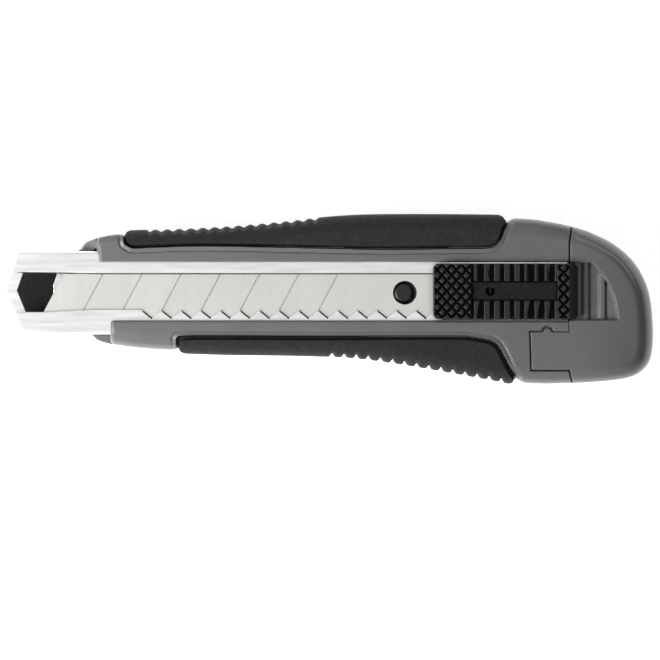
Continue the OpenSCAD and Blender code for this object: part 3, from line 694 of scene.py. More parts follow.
def painted_shade_edges(x, y, z):
    """Where the notches' front flanks and the upper lip's edge get dark steel, as painted shade."""
    away = from_notch(x)
    edge = LOWER_LIP_Y - NOTCH_DEPTH * (1 + away / (NOTCH_PITCH / 2))
    flank = (away < FLANK_START) & (away > FLANK_END)
    flank = flank & (np.abs(y - edge + FLANK_MIDDLE) < FLANK_HALF_W)
    upper = (np.abs(y - upper_edge(x, z)) < UPPER_SHEAR_HALF_W) & (x > UPPER_SHEAR_X)
    return (flank | upper) & (z > LIP_Z) & (z < SHEAR_TOP)


NOSE_STEEP = 1.08


def nose_point(x, y, back):
    """Everything behind the pointed nose, moved back."""
    upper = NOSE_UPPER_L * (y - NOSE_TIP_Y) / (HALF_W - NOSE_TIP_Y)
    lower = NOSE_LOWER_L * (NOSE_TIP_Y - y) / (HALF_W + NOSE_TIP_Y)
    return (NOSE_X + back + np.maximum(upper, lower) - x) / NOSE_STEEP


INSERT_X = NOSE_X + NOSE_RIM
INSERT_L = 9
INSERT_HALF_W = 9
INSERT_POINT_Y = 2
INSERT_LEAN = 0.33
INSERT_STEEP = 1.1


def insert_flat(x, y, grow):
    """The nose insert from the front. Its rear edge comes to a blunt point."""
    rear = INSERT_X + INSERT_L + np.maximum(y - INSERT_POINT_Y, 0) * INSERT_LEAN
    shape = np.maximum(nose_point(x, y, NOSE_RIM - grow), (x - rear - grow) / INSERT_STEEP)
    return np.maximum(shape, np.abs(y) - INSERT_HALF_W - grow)


CHANNEL_BEND_R = 0.75
UPPER_EDGE_SLOPE = 0.9
NOSE_EDGE_R = 0.08


def blade_channel(*p):
    x, y, z = p
    outer = meet(span(y, -HALF_W, HALF_W), span(z, CHANNEL_Z, CHANNEL_TOP), CHANNEL_BEND_R)
    inner = meet(span(y, SHEET_T - HALF_W, HALF_W - SHEET_T), span(z, CHANNEL_FLOOR, LIP_Z),
                 CHANNEL_BEND_R - SHEET_T)
    sheet = carve(outer, inner)
    low_y = notched(x, z) - SHEAR_BACK - LOWER_FLARE * flare(x)
    slot = np.maximum((low_y - y) * NOTCH_SLOPE, (y - upper_edge(x, z)) * UPPER_EDGE_SLOPE)
    sheet = carve(sheet, np.maximum(slot, LIP_Z - 1 - z), EDGE_CUT)
    sheet = meet(sheet, nose_point(x, y, 0), NOSE_EDGE_R)
    sheet = meet(sheet, x - CHANNEL_END_X, EDGE_FINE)
    hole = np.maximum(insert_flat(x, y, FIT_GAP), z - CHANNEL_FLOOR - 1)
    return carve(sheet, hole, EDGE_FINE)


FLANGE_W = 0.8
FLANGE_Z = box_mm("nose_insert")[0][2]


def nose_insert(*p):
    x, y, z = p
    seat_z = CHANNEL_Z - FIT_GAP
    core = meet(insert_flat(x, y, 0), span(z, seat_z, CHANNEL_FLOOR), EDGE_MOULD)
    flange = meet(insert_flat(x, y, FLANGE_W), span(z, FLANGE_Z, seat_z), EDGE_MOULD)
    return np.minimum(core, flange)


# ---- thumb slider ----

SLIDER_TAIL_X = SLIDER_END_X + 0.4
SLIDER_CORNER_R = 1.4
SLIDER_TOP_R = 0.35
TAIL_SLOPE = 1.8
TAIL_H = 0.5
SHOE_T = 0.5
SHOE_SHORT = 2


def slider_shape(p):
    """The slider before its diamonds and its ribs are cut. Its tail slopes down, and a thin
    shoe below runs along the window's lower side."""
    x, y, z = p
    flat = meet(span(x, SLIDER_X, SLIDER_TAIL_X), span(y, SLIDER_LOW_Y, SLIDER_HIGH_Y),
                SLIDER_CORNER_R)
    solid = meet(flat, span(z, SLIDER_Z, PAD_Z), SLIDER_TOP_R)
    slope = z - SLIDER_Z - TAIL_H - (SLIDER_TAIL_X - x) * TAIL_SLOPE
    solid = meet(solid, slope / math.hypot(1, TAIL_SLOPE), EDGE_THICK)
    shoe = cuboid(p, (SLIDER_X + SHOE_SHORT, WINDOW_LOW_Y + FIT_GAP, SLIDER_Z),
                  (SLIDER_END_X - SHOE_SHORT, 0, SLIDER_Z + SHOE_T), EDGE_MOULD)
    solid = np.minimum(solid, shoe)
    low_part = meet(span(x, RIBS_X, RIBS_END_X), RIB_Z - z)
    return carve(solid, low_part, EDGE_CRISP)


KNURL_X = 2.47
KNURL_Y = 2.7
KNURL_D = 1.4
KNURL_HALF_W = 0.3
KNURL_DRAFT = 0.12
KNURL_BEVEL = 0.45
KNURL_STEEP = 1.4
KNURL_RIM = 0.3
# Both knurled pads: from, to, and the middle of one diamond
PADS = (
    (SLIDER_X + 0.5, RIBS_X - 0.2, SLIDER_X + 6.02, WINDOW_MID_Y),
    (RIBS_END_X + 0.25, SLIDER_END_X - 1.8, RIBS_END_X + 1.65, WINDOW_MID_Y - 0.7),
)


def from_line(x, y, mid_x, mid_y):
    """How far a point is from the nearest groove between the diamonds."""
    near = []
    for turn in (1, -1):
        step = (x - mid_x) / KNURL_X + turn * (y - mid_y) / KNURL_Y
        near.append(np.abs(step - np.floor(step) - 0.5))
    width = 1 / math.hypot(1 / KNURL_X, 1 / KNURL_Y)
    return (0.5 - np.maximum(near[0], near[1])) * width


def knurled(solid, p, low_x, high_x, mid_x, mid_y):
    """Cuts crossed grooves into a pad, each with a draft and bevelled shoulders."""
    x, y, z = p
    away = from_line(x, y, mid_x, mid_y)
    groove = np.maximum(away - KNURL_HALF_W - (z - PAD_Z) * KNURL_DRAFT, PAD_Z - KNURL_D - z)
    groove = np.minimum(groove, (away - KNURL_BEVEL + PAD_Z - z) / KNURL_STEEP)
    area = meet(span(x, low_x, high_x),
                span(y, SLIDER_LOW_Y + KNURL_RIM, SLIDER_HIGH_Y - KNURL_RIM))
    return carve(solid, np.maximum(groove, area), EDGE_FINE)


def ribbed(solid, p):
    """Cuts the grooves between the ribs."""
    x, z = p[0], p[2]
    first_x = RIBS_X - RIB_BACK
    along = np.clip(np.floor((x - first_x) / RIB_PITCH), 0, RIB_COUNT)
    start = first_x + along * RIB_PITCH
    groove = span(x, start, np.minimum(start + RIB_PITCH - RIB_L, RIBS_END_X))
    groove = np.maximum(groove, RIBS_X - x)
    return carve(solid, np.maximum(groove, RIB_Z - RIB_GROOVE - z), EDGE_THICK)


PLATE_HOLE = (PLATE_LOW[0] + 4.7, WINDOW_MID_Y)
PLATE_HOLE_R = 1.22
PLATE_ROOM = 0.3
HOLE_FLOOR_Z = 16
FIN_Z = 15.8
FIN_HALF_L = 0.25
FIN_DOWN = 0.4
FIN_STEEP = 1.25


def with_plate_seat(solid, p):
    """Sinks the seat of the smooth plate, with a thin fin below the plate's hole."""
    x, y, z = p
    seat = cuboid(p, (RIBS_X, PLATE_LOW[1] - PLATE_ROOM, PLATE_LOW[2] - FIT_GAP),
                  (RIBS_END_X, PLATE_HIGH[1] + PLATE_ROOM, PAD_Z + 1))
    hole = rod(p, PLATE_HOLE, PLATE_HOLE_R, HOLE_FLOOR_Z, FAR)
    solid = carve(solid, np.minimum(seat, hole), EDGE_FINE)
    fin = np.abs(x - PLATE_HOLE[0]) - FIN_HALF_L * (1 - (y - PLATE_HOLE[1]) ** 2)
    height = span(z, FIN_Z, PLATE_HIGH[2] - FIN_DOWN)
    return np.minimum(solid, np.maximum(fin / FIN_STEEP, height))


RAIL_X = SLIDER_X + 4.4
RAIL_L = 20
RAIL_Y = 2.7
RAIL_WEB_HALF_W = 0.7
RAIL_HEAD_HALF_W = 1.5
RAIL_HEAD_Z = SLIDER_Z + 0.6
RAIL_ROOM_END_X = box_mm("return_spring")[1][0] + FIT_GAP
LOCK_ROOM_X = LOCK_X - 2.5
LOCK_ROOM_END_X = PIN_X + 3.4
ROOM_TOP = CARRIER_HIGH[2] + RUN_GAP


def thumb_slider(*p):
    solid = slider_shape(p)
    for pad in PADS:
        solid = knurled(solid, p, *pad)
    solid = ribbed(solid, p)
    solid = with_plate_seat(solid, p)
    half_w = RAIL_HEAD_HALF_W + RUN_GAP
    below = SLIDER_Z - 1
    lock_room = cuboid(p, (LOCK_ROOM_X, LOWER_LIP_Y - RUN_GAP, below),
                       (LOCK_ROOM_END_X, RAIL_Y + half_w, ROOM_TOP))
    rail_room = cuboid(p, (RAIL_X - RUN_GAP, RAIL_Y - half_w, below),
                       (RAIL_ROOM_END_X, RAIL_Y + half_w, ROOM_TOP))
    return carve(solid, np.minimum(lock_room, rail_room))


DEEP_Z = RIB_Z - 0.5
MATT_TAIL_X = SLIDER_END_X - 1.6


def unpolished(x, y, z):
    """The slider's deep faces and its rear slope, which stay matt."""
    return z < DEEP_Z or x > MATT_TAIL_X


PLATE_SHORT = 0.2


def slider_plate(*p):
    low = (RIBS_X + PLATE_ROOM, PLATE_LOW[1], PLATE_LOW[2])
    high = (RIBS_END_X - PLATE_SHORT, PLATE_HIGH[1], PLATE_HIGH[2])
    solid = cuboid(p, low, high, EDGE_CRISP)
    return carve(solid, rod(p, PLATE_HOLE, PLATE_HOLE_R, 0, FAR), EDGE_CRISP)


# ---- blade carrier ----

TRAY_HALF_W = 6.5
BLOCK_HALF_W = 9
BLOCK_GAP = 0.3
STUD_R = 2.75
STUD_AHEAD = 0.3
STUD_DRAFT = 0.7
STUD_EDGE_R = 0.25
STUD_UP = 0.5
STUD_STEEP = 1.2
PIN_Y = (PIN_LOW[1] + PIN_HIGH[1]) / 2
PIN_HOLE_R = 0.82


def blade_carrier(*p):
    x, y, z = p
    low = CARRIER_LOW[2]
    top = LIP_Z - RUN_GAP
    solid = cuboid(p, (CARRIER_LOW[0], -TRAY_HALF_W, low),
                   (BLADE_HIGH[0] + 1, TRAY_HALF_W, BLADE_LOW[2] - FIT_GAP), EDGE_MOULD)
    block = cuboid(p, (BLADE_HIGH[0] + BLOCK_GAP, -BLOCK_HALF_W, low),
                   (CARRIER_HIGH[0], BLOCK_HALF_W, top), EDGE_THICK)
    solid = join(solid, block, EDGE_MOULD)
    away = np.hypot(x - STUD_X + STUD_AHEAD, y) - STUD_R + (z - BLADE_LOW[2]) * STUD_DRAFT
    height = span(z, low, BLADE_HIGH[2] + STUD_UP)
    solid = np.minimum(solid, meet(away / STUD_STEEP, height, STUD_EDGE_R))
    end_x = RAIL_X + RAIL_L
    web = cuboid(p, (RAIL_X, RAIL_Y - RAIL_WEB_HALF_W, top - 1),
                 (end_x, RAIL_Y + RAIL_WEB_HALF_W, RAIL_HEAD_Z + FIT_GAP))
    head = cuboid(p, (RAIL_X, RAIL_Y - RAIL_HEAD_HALF_W, RAIL_HEAD_Z),
                  (end_x, RAIL_Y + RAIL_HEAD_HALF_W, CARRIER_HIGH[2]), EDGE_FINE)
    solid = np.minimum(solid, np.minimum(web, head))
    return carve(solid, rod(p, (PIN_X, PIN_Y), PIN_HOLE_R, PIN_LOW[2] - FIT_GAP, FAR))


# ---- end cap ----

RECESS_Z = CASING_T - 2.1
RECESS_R = 18.6
RECESS_X = CAP_X - 6.4
RECESS_DRAFT = 0.25
RECESS_STEEP = 1.2
RECESS_EDGE_R = 0.25
RIDGE_PITCH = 4.2
RIDGE_H = 0.5
RIDGE_X = CAP_X + 0.7
RIDGE_L = 1.8
RIDGE_SLOPE_L = 0.8
RIDGES = 2
SLIT_W = 0.6
SLIT_D = 1.3
SLIT_SIDE = 0.08


def thumb_recess(p):
    """The hollow for the thumb. Each of its two ridges drops into a slit behind it."""
    x, y, z = p
    wall = (z - RECESS_Z) * RECESS_DRAFT
    circle = np.hypot(x - RECESS_X, y - WINDOW_LOW_Y) - RECESS_R - wall
    flat = np.maximum(circle, span(y, WINDOW_LOW_Y, WINDOW_HIGH_Y))
    place = np.clip(np.ceil((x - RIDGE_X) / RIDGE_PITCH), 1, RIDGES + 1)
    ahead = RIDGE_X + place * RIDGE_PITCH - x
    ridge = RIDGE_H * np.clip((RIDGE_L - ahead) / RIDGE_SLOPE_L, 0, 1) * (place <= RIDGES)
    slit = SLIT_D * np.clip((ahead - RIDGE_PITCH + SLIT_W) / SLIT_SIDE, 0, 1) * (place > 1)
    return np.maximum(flat, (RECESS_Z + ridge - slit - z) / RECESS_STEEP)


CREASE_IN = 2.1
CREASE_H = 0.45
CREASE_OUTER_W = 1.6
CREASE_INNER_W = 0.8
CREASE_FADE = 8
CREASE_START = 1.5


def crease(p):
    """The low ridge along the upper side of the end cap, steeper towards the thumb recess."""
    x, y = p[:2]
    away = BODY(x, y) + CREASE_IN
    ridge = np.clip(np.minimum(1 - away / CREASE_OUTER_W, 1 + away / CREASE_INNER_W), 0, 1)
    upper = np.clip((y + 2) / CREASE_FADE, 0, 1) * np.clip((x - CAP_X - 1) / CREASE_START, 0, 1)
    return CREASE_H * ridge * upper


CAP_WALL = 2.2
CAP_WALL_R = 2
CAP_HOLLOW_X = CAP_X - 5
CAP_DOME = 0.0075
CAP_DOME_X = CAP_X + 3
PRONG_L = 9
PRONG_T = 1.4
PRONG_Z = STORE_RAIL_TOP + 1.6
PRONG_END_X = CAP_X + 10.7


def end_cap(*p):
    x, y, z = p
    solid = blank(p, crease(p) - CAP_DOME * np.maximum(x - CAP_DOME_X, 0) ** 2)
    solid = meet(solid, -z, BACK_EDGE_R)
    behind = joint_gap(p) - split(p)
    solid = meet(solid, np.minimum(behind, tongue(p, 0)), EDGE_MOULD)
    solid = carve(solid, thumb_recess(p), RECESS_EDGE_R)
    inside_top = RECESS_Z - CAP_WALL
    inside = plate(BODY(x, y) + CAP_WALL, z, CAP_WALL, inside_top, CAP_WALL_R, CAP_WALL_R)
    solid = carve(solid, np.maximum(inside, CAP_HOLLOW_X - x), EDGE_MOULD)
    for side in (-1, 1):
        low_y = (side * STORE_HALF_W - PRONG_T) / 2
        prong = cuboid(p, (CAP_X - PRONG_L, low_y, PRONG_Z),
                       (PRONG_END_X, low_y + PRONG_T, SEAM_Z - PART_GAP), EDGE_THICK)
        wall = cuboid(p, (CAP_X + PART_GAP, low_y, CAP_WALL - FIT_GAP),
                      (PRONG_END_X, low_y + PRONG_T, inside_top + FIT_GAP))
        solid = np.minimum(solid, np.minimum(prong, wall))
    return solid


# ---- screws ----

HEAD_TOP_Z = SCREW_SEAT_Z - FIT_GAP
HEAD_CROWN = 0.03
SHANK_R = 1
CROSS_HALF_W = 0.28
CROSS_D = 1
CROSS_EDGE_R = 0.08


def casing_screws(*p):
    x, y, z = p
    solid = np.full(np.broadcast(x, y, z).shape, float(BEYOND))
    for place in SCREW_PLACES:
        across = np.abs(x - place[0])
        along = np.abs(y - place[1])
        away = np.hypot(across, along)
        crown = SCREW_LOW[2] + away ** 2 * HEAD_CROWN
        head = meet(away - SCREW_HEAD_R, span(z, crown, HEAD_TOP_Z), EDGE_MOULD)
        shank = meet(away - SHANK_R, span(z, 1, SCREW_HIGH[2]), EDGE_THICK)
        cross = np.minimum(
            np.maximum(across - CROSS_HALF_W, along - SCREW_HEAD_R / 2),
            np.maximum(along - CROSS_HALF_W, across - SCREW_HEAD_R / 2),
        )
        head = carve(head, np.maximum(cross, z - SCREW_LOW[2] - CROSS_D), CROSS_EDGE_R)
        solid = np.minimum(solid, np.minimum(head, shank))
    return solid


# ---- meshes ----

SLOPE_REACH = 0.04
NORMAL_REACH = 0.06
LEAST_SLOPE = 0.25
SMALL = 1e-6


def surface_points(field, low, high, step):
    """Lays a mesh of small faces on the surface of a field."""
    axes = [np.arange(a - 3 * step, b + 3 * step, step) for a, b in zip(low, high)]
    x = axes[0].reshape(-1, 1, 1)
    y = axes[1].reshape(1, -1, 1)
    z = axes[2].reshape(1, 1, -1)
    shape = tuple(len(axis) for axis in axes)
    values = np.broadcast_to(field(x, y, z), shape)
    values = np.clip(values, -3 * step, 3 * step).astype(np.float32)
    grid = openvdb.FloatGrid(3 * step)
    grid.copyFromArray(np.ascontiguousarray(values))
    grid.transform = openvdb.createLinearTransform(voxelSize=step)
    points, triangles, quads = grid.convertToPolygons(isovalue=0.0, adaptivity=0.0)
    start = np.array([axis[0] for axis in axes])
    return points + start, triangles.tolist() + quads.tolist()


def slopes(field, points, reach=SLOPE_REACH):
    """The direction in which the field grows at each point."""
    made = np.zeros(points.shape)
    for axis in range(3):
        near = points.copy()
        far = points.copy()
        near[:, axis] -= reach
        far[:, axis] += reach
        made[:, axis] = field(*far.T) - field(*near.T)
    return made / (2 * reach)


def settle(field, points, reach):
    """Moves points onto the surface of a field."""
    for _ in range(2):
        grow = slopes(field, points)
        steep = np.maximum((grow ** 2).sum(1), LEAST_SLOPE)
        shift = np.clip(field(*points.T) / steep, -reach, reach)
        points = points - grow * shift[:, None]
    return points


def thinned(mesh, faces):
    """The mesh with fewer faces where it is flat."""
    if len(mesh.polygons) * 2 <= faces:
        return mesh
    holder = bpy.data.objects.new("thinning", mesh)
    bpy.context.scene.collection.objects.link(holder)
    modifier = holder.modifiers.new("thin", "DECIMATE")
    modifier.ratio = faces / (len(mesh.polygons) * 2)
    graph = bpy.context.evaluated_depsgraph_get()
    made = bpy.data.meshes.new_from_object(holder.evaluated_get(graph))
    bpy.data.objects.remove(holder)
    bpy.data.meshes.remove(mesh)
    return made


def sculpt(name, field, low, high, step, faces):
    """A piece whose surface is that of a field, inside a box."""
    points, polygons = surface_points(field, low, high, step)
    mesh = bpy.data.meshes.new(name)
    mesh.from_pydata(points.tolist(), [], polygons)
    mesh = thinned(mesh, faces)
    points = np.zeros(len(mesh.vertices) * 3)
    mesh.vertices.foreach_get("co", points)
    points = settle(field, points.reshape(-1, 3), step)
    normals = slopes(field, points, NORMAL_REACH)
    normals /= np.maximum(np.linalg.norm(normals, axis=1), SMALL)[:, None]
    mesh.vertices.foreach_set("co", (points * MM).ravel())
    mesh.polygons.foreach_set("use_smooth", [True] * len(mesh.polygons))
    mesh.update()
    mesh.normals_split_custom_set_from_vertices(normals.tolist())
    return add_object(name, mesh)


def add_object(name, mesh):
    made = bpy.data.objects.new(name, mesh)
    mesh.name = name
    bpy.context.scene.collection.objects.link(made)
    return made


SCORE_PITCH = 10
SCORE_LINES = 7
SCORE_ANGLE = math.radians(62)
SCORE_W = 0.34
SCORE_D = 0.14
SCORED_D = 0.001
BEVEL_W = 1.6
BEVEL_D = 0.2
HOLE_R = 3.05
HOLE_CLEAR_R = 3
HOLE_SIDES = 48
MERGE = 1e-5


def bevel_depth(y):
    """How far each face of the blade is cut down towards its cutting edge."""
    return BEVEL_D * np.clip(1 - y / BEVEL_W, 0, 1)


def blade_depth(x, y):
    """The same for the front face, with its score lines."""
    along = x - y / math.tan(SCORE_ANGLE)
    k = np.clip(np.round(along / SCORE_PITCH), 1, SCORE_LINES)
    away = np.abs(along - k * SCORE_PITCH) * math.sin(SCORE_ANGLE)
    score = SCORE_D * np.clip(1 - away / (SCORE_W / 2), 0, 1)
    return np.maximum(score, bevel_depth(y))


def score_edges(width, length):
    """The edges and the floors of the score lines, and the inner edge of the bevel."""
    lines = [((0, BEVEL_W), (length, BEVEL_W))]
    lean = width / math.tan(SCORE_ANGLE)
    for k in range(1, SCORE_LINES + 1):
        for side in (-1, 0, 1):
            x = k * SCORE_PITCH + side * SCORE_W / 2 / math.sin(SCORE_ANGLE)
            lines.append(((x, 0), (x + lean, width)))
    return lines


def blade(name, corner, high):
    """A blade with its tip at a corner. Its lines are edges of its faces."""
    length = high[0] - corner[0]
    width = high[1] - corner[1]
    thick = high[2] - corner[2]
    lean = width / math.tan(SCORE_ANGLE)
    rim = [(0, 0), (length, 0), (length, width), (lean, width)]
    mid_x = length - HOLE_FROM_END
    mid_y = width / 2
    turns = [math.tau * k / HOLE_SIDES for k in range(HOLE_SIDES)]
    hole = [(mid_x + HOLE_R * math.cos(t), mid_y + HOLE_R * math.sin(t)) for t in turns]
    points = [Vector(p) for p in rim + hole]
    edges = []
    for start, count in ((0, len(rim)), (len(rim), HOLE_SIDES)):
        edges += [(start + k, start + (k + 1) % count) for k in range(count)]
    for a, b in score_edges(width, length):
        edges.append((len(points), len(points) + 1))
        points += [Vector(a), Vector(b)]
    flat, _, faces = delaunay_2d_cdt(points, edges, [], 0, MERGE)[:3]
    kept = []
    for face in faces:
        centre = sum((flat[k] for k in face), Vector((0, 0))) / len(face)
        inside = centre.y * lean / width < centre.x + SMALL
        if inside and (centre - Vector((mid_x, mid_y))).length > HOLE_CLEAR_R:
            kept.append(list(face))
    return blade_mesh(name, corner, thick, np.array(flat), kept)


def blade_mesh(name, corner, thick, flat, faces):
    """Closes a front and a back face with the rim between them."""
    count = len(flat)
    front = np.column_stack([flat, thick - blade_depth(flat[:, 0], flat[:, 1])]) + corner
    back = np.column_stack([flat, bevel_depth(flat[:, 1])]) + corner
    sides = {}
    for face in faces:
        for a, b in zip(face, face[1:] + face[:1]):
            sides[(a, b)] = sides.get((a, b), 0) + 1
    walls = [(b, a, a + count, b + count) for a, b in sides if (b, a) not in sides]
    polygons = [tuple(f) for f in faces]
    polygons += [tuple(k + count for k in reversed(f)) for f in faces]
    mesh = bpy.data.meshes.new(name)
    mesh.from_pydata((np.vstack([front, back]) * MM).tolist(), [], polygons + walls)
    # Faces in the score lines get the dark steel, as painted shade.
    for k, face in enumerate(faces):
        x, y = flat[face].mean(0)
        scored = blade_depth(x, y) > bevel_depth(y) + SCORED_D
        mesh.polygons[k].material_index = int(scored)
    mesh.update()
    return add_object(name, mesh)


# ---- materials ----

def colour(code):
    """An sRGB colour, written in hex, as the linear one that a shader takes."""
    parts = [int(code[k:k + 2], 16) / 255 for k in (0, 2, 4)]
    return [p / 12.92 if p <= 0.04045 else ((p + 0.055) / 1.055) ** 2.4 for p in parts] + [1]


def node(tree, kind, inputs=None, **settings):
    """Adds a node with its settings, values and links."""
    made = tree.nodes.new(kind)
    for key, value in settings.items():
        setattr(made, key, value)
    for key, value in (inputs or {}).items():
        if isinstance(value, bpy.types.NodeSocket):
            tree.links.new(value, made.inputs[key])
        else:
            made.inputs[key].default_value = value
    return made


def new_tree(owner):
    owner.use_nodes = True
    owner.node_tree.nodes.clear()
    return owner.node_tree


def noise(tree, size, detail=3.0):
    """Noise whose cells have these sizes along X, Y and Z, in millimetres."""
    place = node(tree, "ShaderNodeTexCoord").outputs["Object"]
    scale = [1 / (s * MM) for s in size]
    mapped = node(tree, "ShaderNodeMapping", {"Vector": place, "Scale": scale})
    inputs = {"Vector": mapped.outputs[0], "Scale": 1.0, "Detail": detail}
    return node(tree, "ShaderNodeTexNoise", inputs).outputs[0]


def ranged(tree, value, low, high, start=0.3, end=0.7):
    """A value between low and high."""
    inputs = {0: value, 1: start, 2: end, 3: low, 4: high}
    return node(tree, "ShaderNodeMapRange", inputs).outputs[0]


def blended(tree, share, first, second):
    """A colour between two."""
    inputs = {0: share, 6: first, 7: second}
    return node(tree, "ShaderNodeMix", inputs, data_type="RGBA").outputs[2]


def worked(tree, kind, *values):
    """What a sum of some kind gives."""
    inputs = dict(enumerate(values))
    return node(tree, "ShaderNodeMath", inputs, operation=kind).outputs[0]


SHINE_GRAINS = 3


def finish(name, tones, rough, grain, grain_h, patches=(9, 9, 9), metallic=0.0, ior=1.5):
    """A surface with a fine grain. Its tone changes over broad patches, its shine over grains."""
    material = bpy.data.materials.new(name)
    tree = new_tree(material)
    fine = noise(tree, grain)
    share = ranged(tree, noise(tree, patches), 0.0, 1.0)
    base = blended(tree, share, colour(tones[0]), colour(tones[1]))
    uneven = ranged(tree, noise(tree, [g * SHINE_GRAINS for g in grain]), *rough)
    bump = node(tree, "ShaderNodeBump", {"Strength": 1.0, "Distance": grain_h * MM, "Height": fine})
    inputs = {
        "Base Color": base, "Roughness": uneven, "Metallic": metallic,
        "Normal": bump.outputs[0],
    }
    if not metallic:
        inputs["IOR"] = ior
    shader = node(tree, "ShaderNodeBsdfPrincipled", inputs)
    node(tree, "ShaderNodeOutputMaterial", {"Surface": shader.outputs[0]})
    return material


# The grain of these finishes is 0.1 mm or finer, which would not show. It is drawn 0.2 to 0.4 mm
# coarse instead, and microns high. The broad patches have their real size.

# Grey ABS from a spark-eroded mould: an even grain of 0.08 mm, with a satin sheen on the edges.
ABS = finish("abs_spark_textured_grey", ("747473", "7a7a79"), (0.32, 0.4), (0.32, 0.32, 0.32), 0.006,
             ior=1.53)
# Soft thermoplastic rubber moulded over the casing: dark, with a grain of 0.1 mm and a dull sheen.
TPR = finish("tpr_rubber_overmoulded", ("16171a", "1b1c1f"), (0.72, 0.86), (0.4, 0.4, 0.4), 0.012)
# Nickel-plated steel sheet: bright, with rolling marks along it, 0.05 mm wide.
NICKEL = finish("steel_sheet_nickel_plated", ("dcdcdb", "f1f1f0"), (0.3, 0.4), (6, 0.35, 0.35), 0.003,
                patches=(12, 1.2, 3), metallic=1.0)
# Blade steel, ground on its faces: pale, with marks across the blade, 0.03 mm wide.
GROUND = finish("carbon_steel_ground", ("d5d4cf", "dad9d5"), (0.36, 0.42), (0.4, 5, 0.4), 0.001,
                patches=(8, 14, 8), metallic=1.0)
# The same steel, dark, as painted shade in the score lines and on the lips' cut edges; grains of 0.05
# mm.
PAINTED_SHADE_STEEL = finish("carbon_steel_painted_shade", ("44443f", "50504a"), (0.75, 0.85), (0.4, 0.4, 0.4), 0.002,
                metallic=1.0)
# Black acetal from a polished mould: a grain of 0.05 mm at most, so that its edges catch the light.
ACETAL = finish("acetal_moulded_black", ("060708", "0b0c0d"), (0.3, 0.4), (0.35, 0.35, 0.35), 0.004,
                ior=1.48)
# The same acetal from a blasted mould: a grain of 0.06 mm and no sheen.
MATT_ACETAL = finish("acetal_moulded_matt_black", ("060708", "0a0b0c"), (0.86, 0.96), (0.3, 0.3, 0.3),
                     0.008, ior=1.48)
# Bright spring steel strip and wire, with drawing marks along it, 0.03 mm wide.
SPRING = finish("spring_steel_bright", ("b9bcbf", "c6c9cb"), (0.28, 0.38), (0.5, 0.2, 0.2), 0.002,
                patches=(3, 3, 3), metallic=1.0)
# Screws with a black oxide coat: blotches of 1.5 mm and a grain of 0.02 mm.
OXIDE = finish("steel_black_oxide", ("2a2a2c", "3c3c3e"), (0.35, 0.5), (0.3, 0.3, 0.3), 0.006,
               patches=(1.5, 1.5, 1.5), metallic=1.0)


def dress(piece, material, body, slot, *nodes):
    """Gives a piece its material and its place in the part."""
    piece.data.materials.clear()
    piece.data.materials.append(material)
    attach(piece, body)
    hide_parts(*nodes)


def sculpt_node(name, field, step, faces, material, body, slot, extra_h=0.0):
    """A sculpted piece in the place of the CAD node of the same name."""
    low, high = box_mm(name)
    high[2] += extra_h
    piece = sculpt(name + "_skin", field, low, high, step, faces)
    dress(piece, material, body, slot, name)
    return piece


def mark_faces(piece, where, material):
    """Gives the faces in some places another material."""
    piece.data.materials.append(material)
    for face in piece.data.polygons:
        face.material_index = int(where(*(face.center / MM)))


sculpt_node("casing_front", casing_front, 0.3, 60000, ABS, "handle", "casing_plastic")
sculpt_node("casing_back", casing_back, 0.35, 55000, ABS, "handle", "casing_plastic", CHEEK_ROOM)
sculpt_node("end_cap", end_cap, 0.28, 50000, ABS, "cap", "casing_plastic")
for side, outline, ripple, ledge_w in (
    ("upper", UPPER, UPPER_WAVES, UPPER_LEDGE_W),
    ("lower", LOWER, LOWER_WAVES, LOWER_LEDGE_W),
):
    for half in ("front", "back"):
        name = side + "_grip_" + half
        field = grip(outline, ripple, ledge_w, half == "front")
        sculpt_node(name, field, 0.3, 30000, TPR, "handle", "grip_rubber")
channel = sculpt_node("blade_channel", blade_channel, 0.16, 70000, NICKEL, "handle",
                      "channel_steel")
# Painted shade: the notches' front flanks and the upper lip's edge are made dark.
mark_faces(channel, painted_shade_edges, PAINTED_SHADE_STEEL)
sculpt_node("nose_insert", nose_insert, 0.2, 8000, MATT_ACETAL, "handle", "black_plastic")
sculpt_node("casing_screws", casing_screws, 0.15, 12000, OXIDE, "handle", "screw_steel")
slider = sculpt_node("thumb_slider", thumb_slider, 0.15, 60000, ACETAL, "slider",
                     "black_plastic")
mark_faces(slider, unpolished, MATT_ACETAL)
sculpt_node("slider_plate", slider_plate, 0.12, 9000, MATT_ACETAL, "slider", "black_plastic")
sculpt_node("blade_carrier", blade_carrier, 0.2, 16000, ACETAL, "carriage", "black_plastic")
for name, body in (
    ("blade", "carriage"), ("spare_blade_lower", "handle"), ("spare_blade_upper", "handle"),
):
    piece = blade(name + "_ground", *box_mm(name))
    dress(piece, GROUND, body, "blade_steel", name)
    # The blades' second material paints shade into their score lines.
    piece.data.materials.append(PAINTED_SHADE_STEEL)
for name in ("return_spring", "lock_lever", "lock_pin", "lock_leaf"):
    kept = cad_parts[name]
    kept.data.materials.clear()
    kept.data.materials.append(SPRING)


# ---- stage ----

FLOOR_HALF = 1200
FLOOR_DROP = 0.05
FLOOR_LIFT = 0.93
FLOOR_SHINE = 1.9


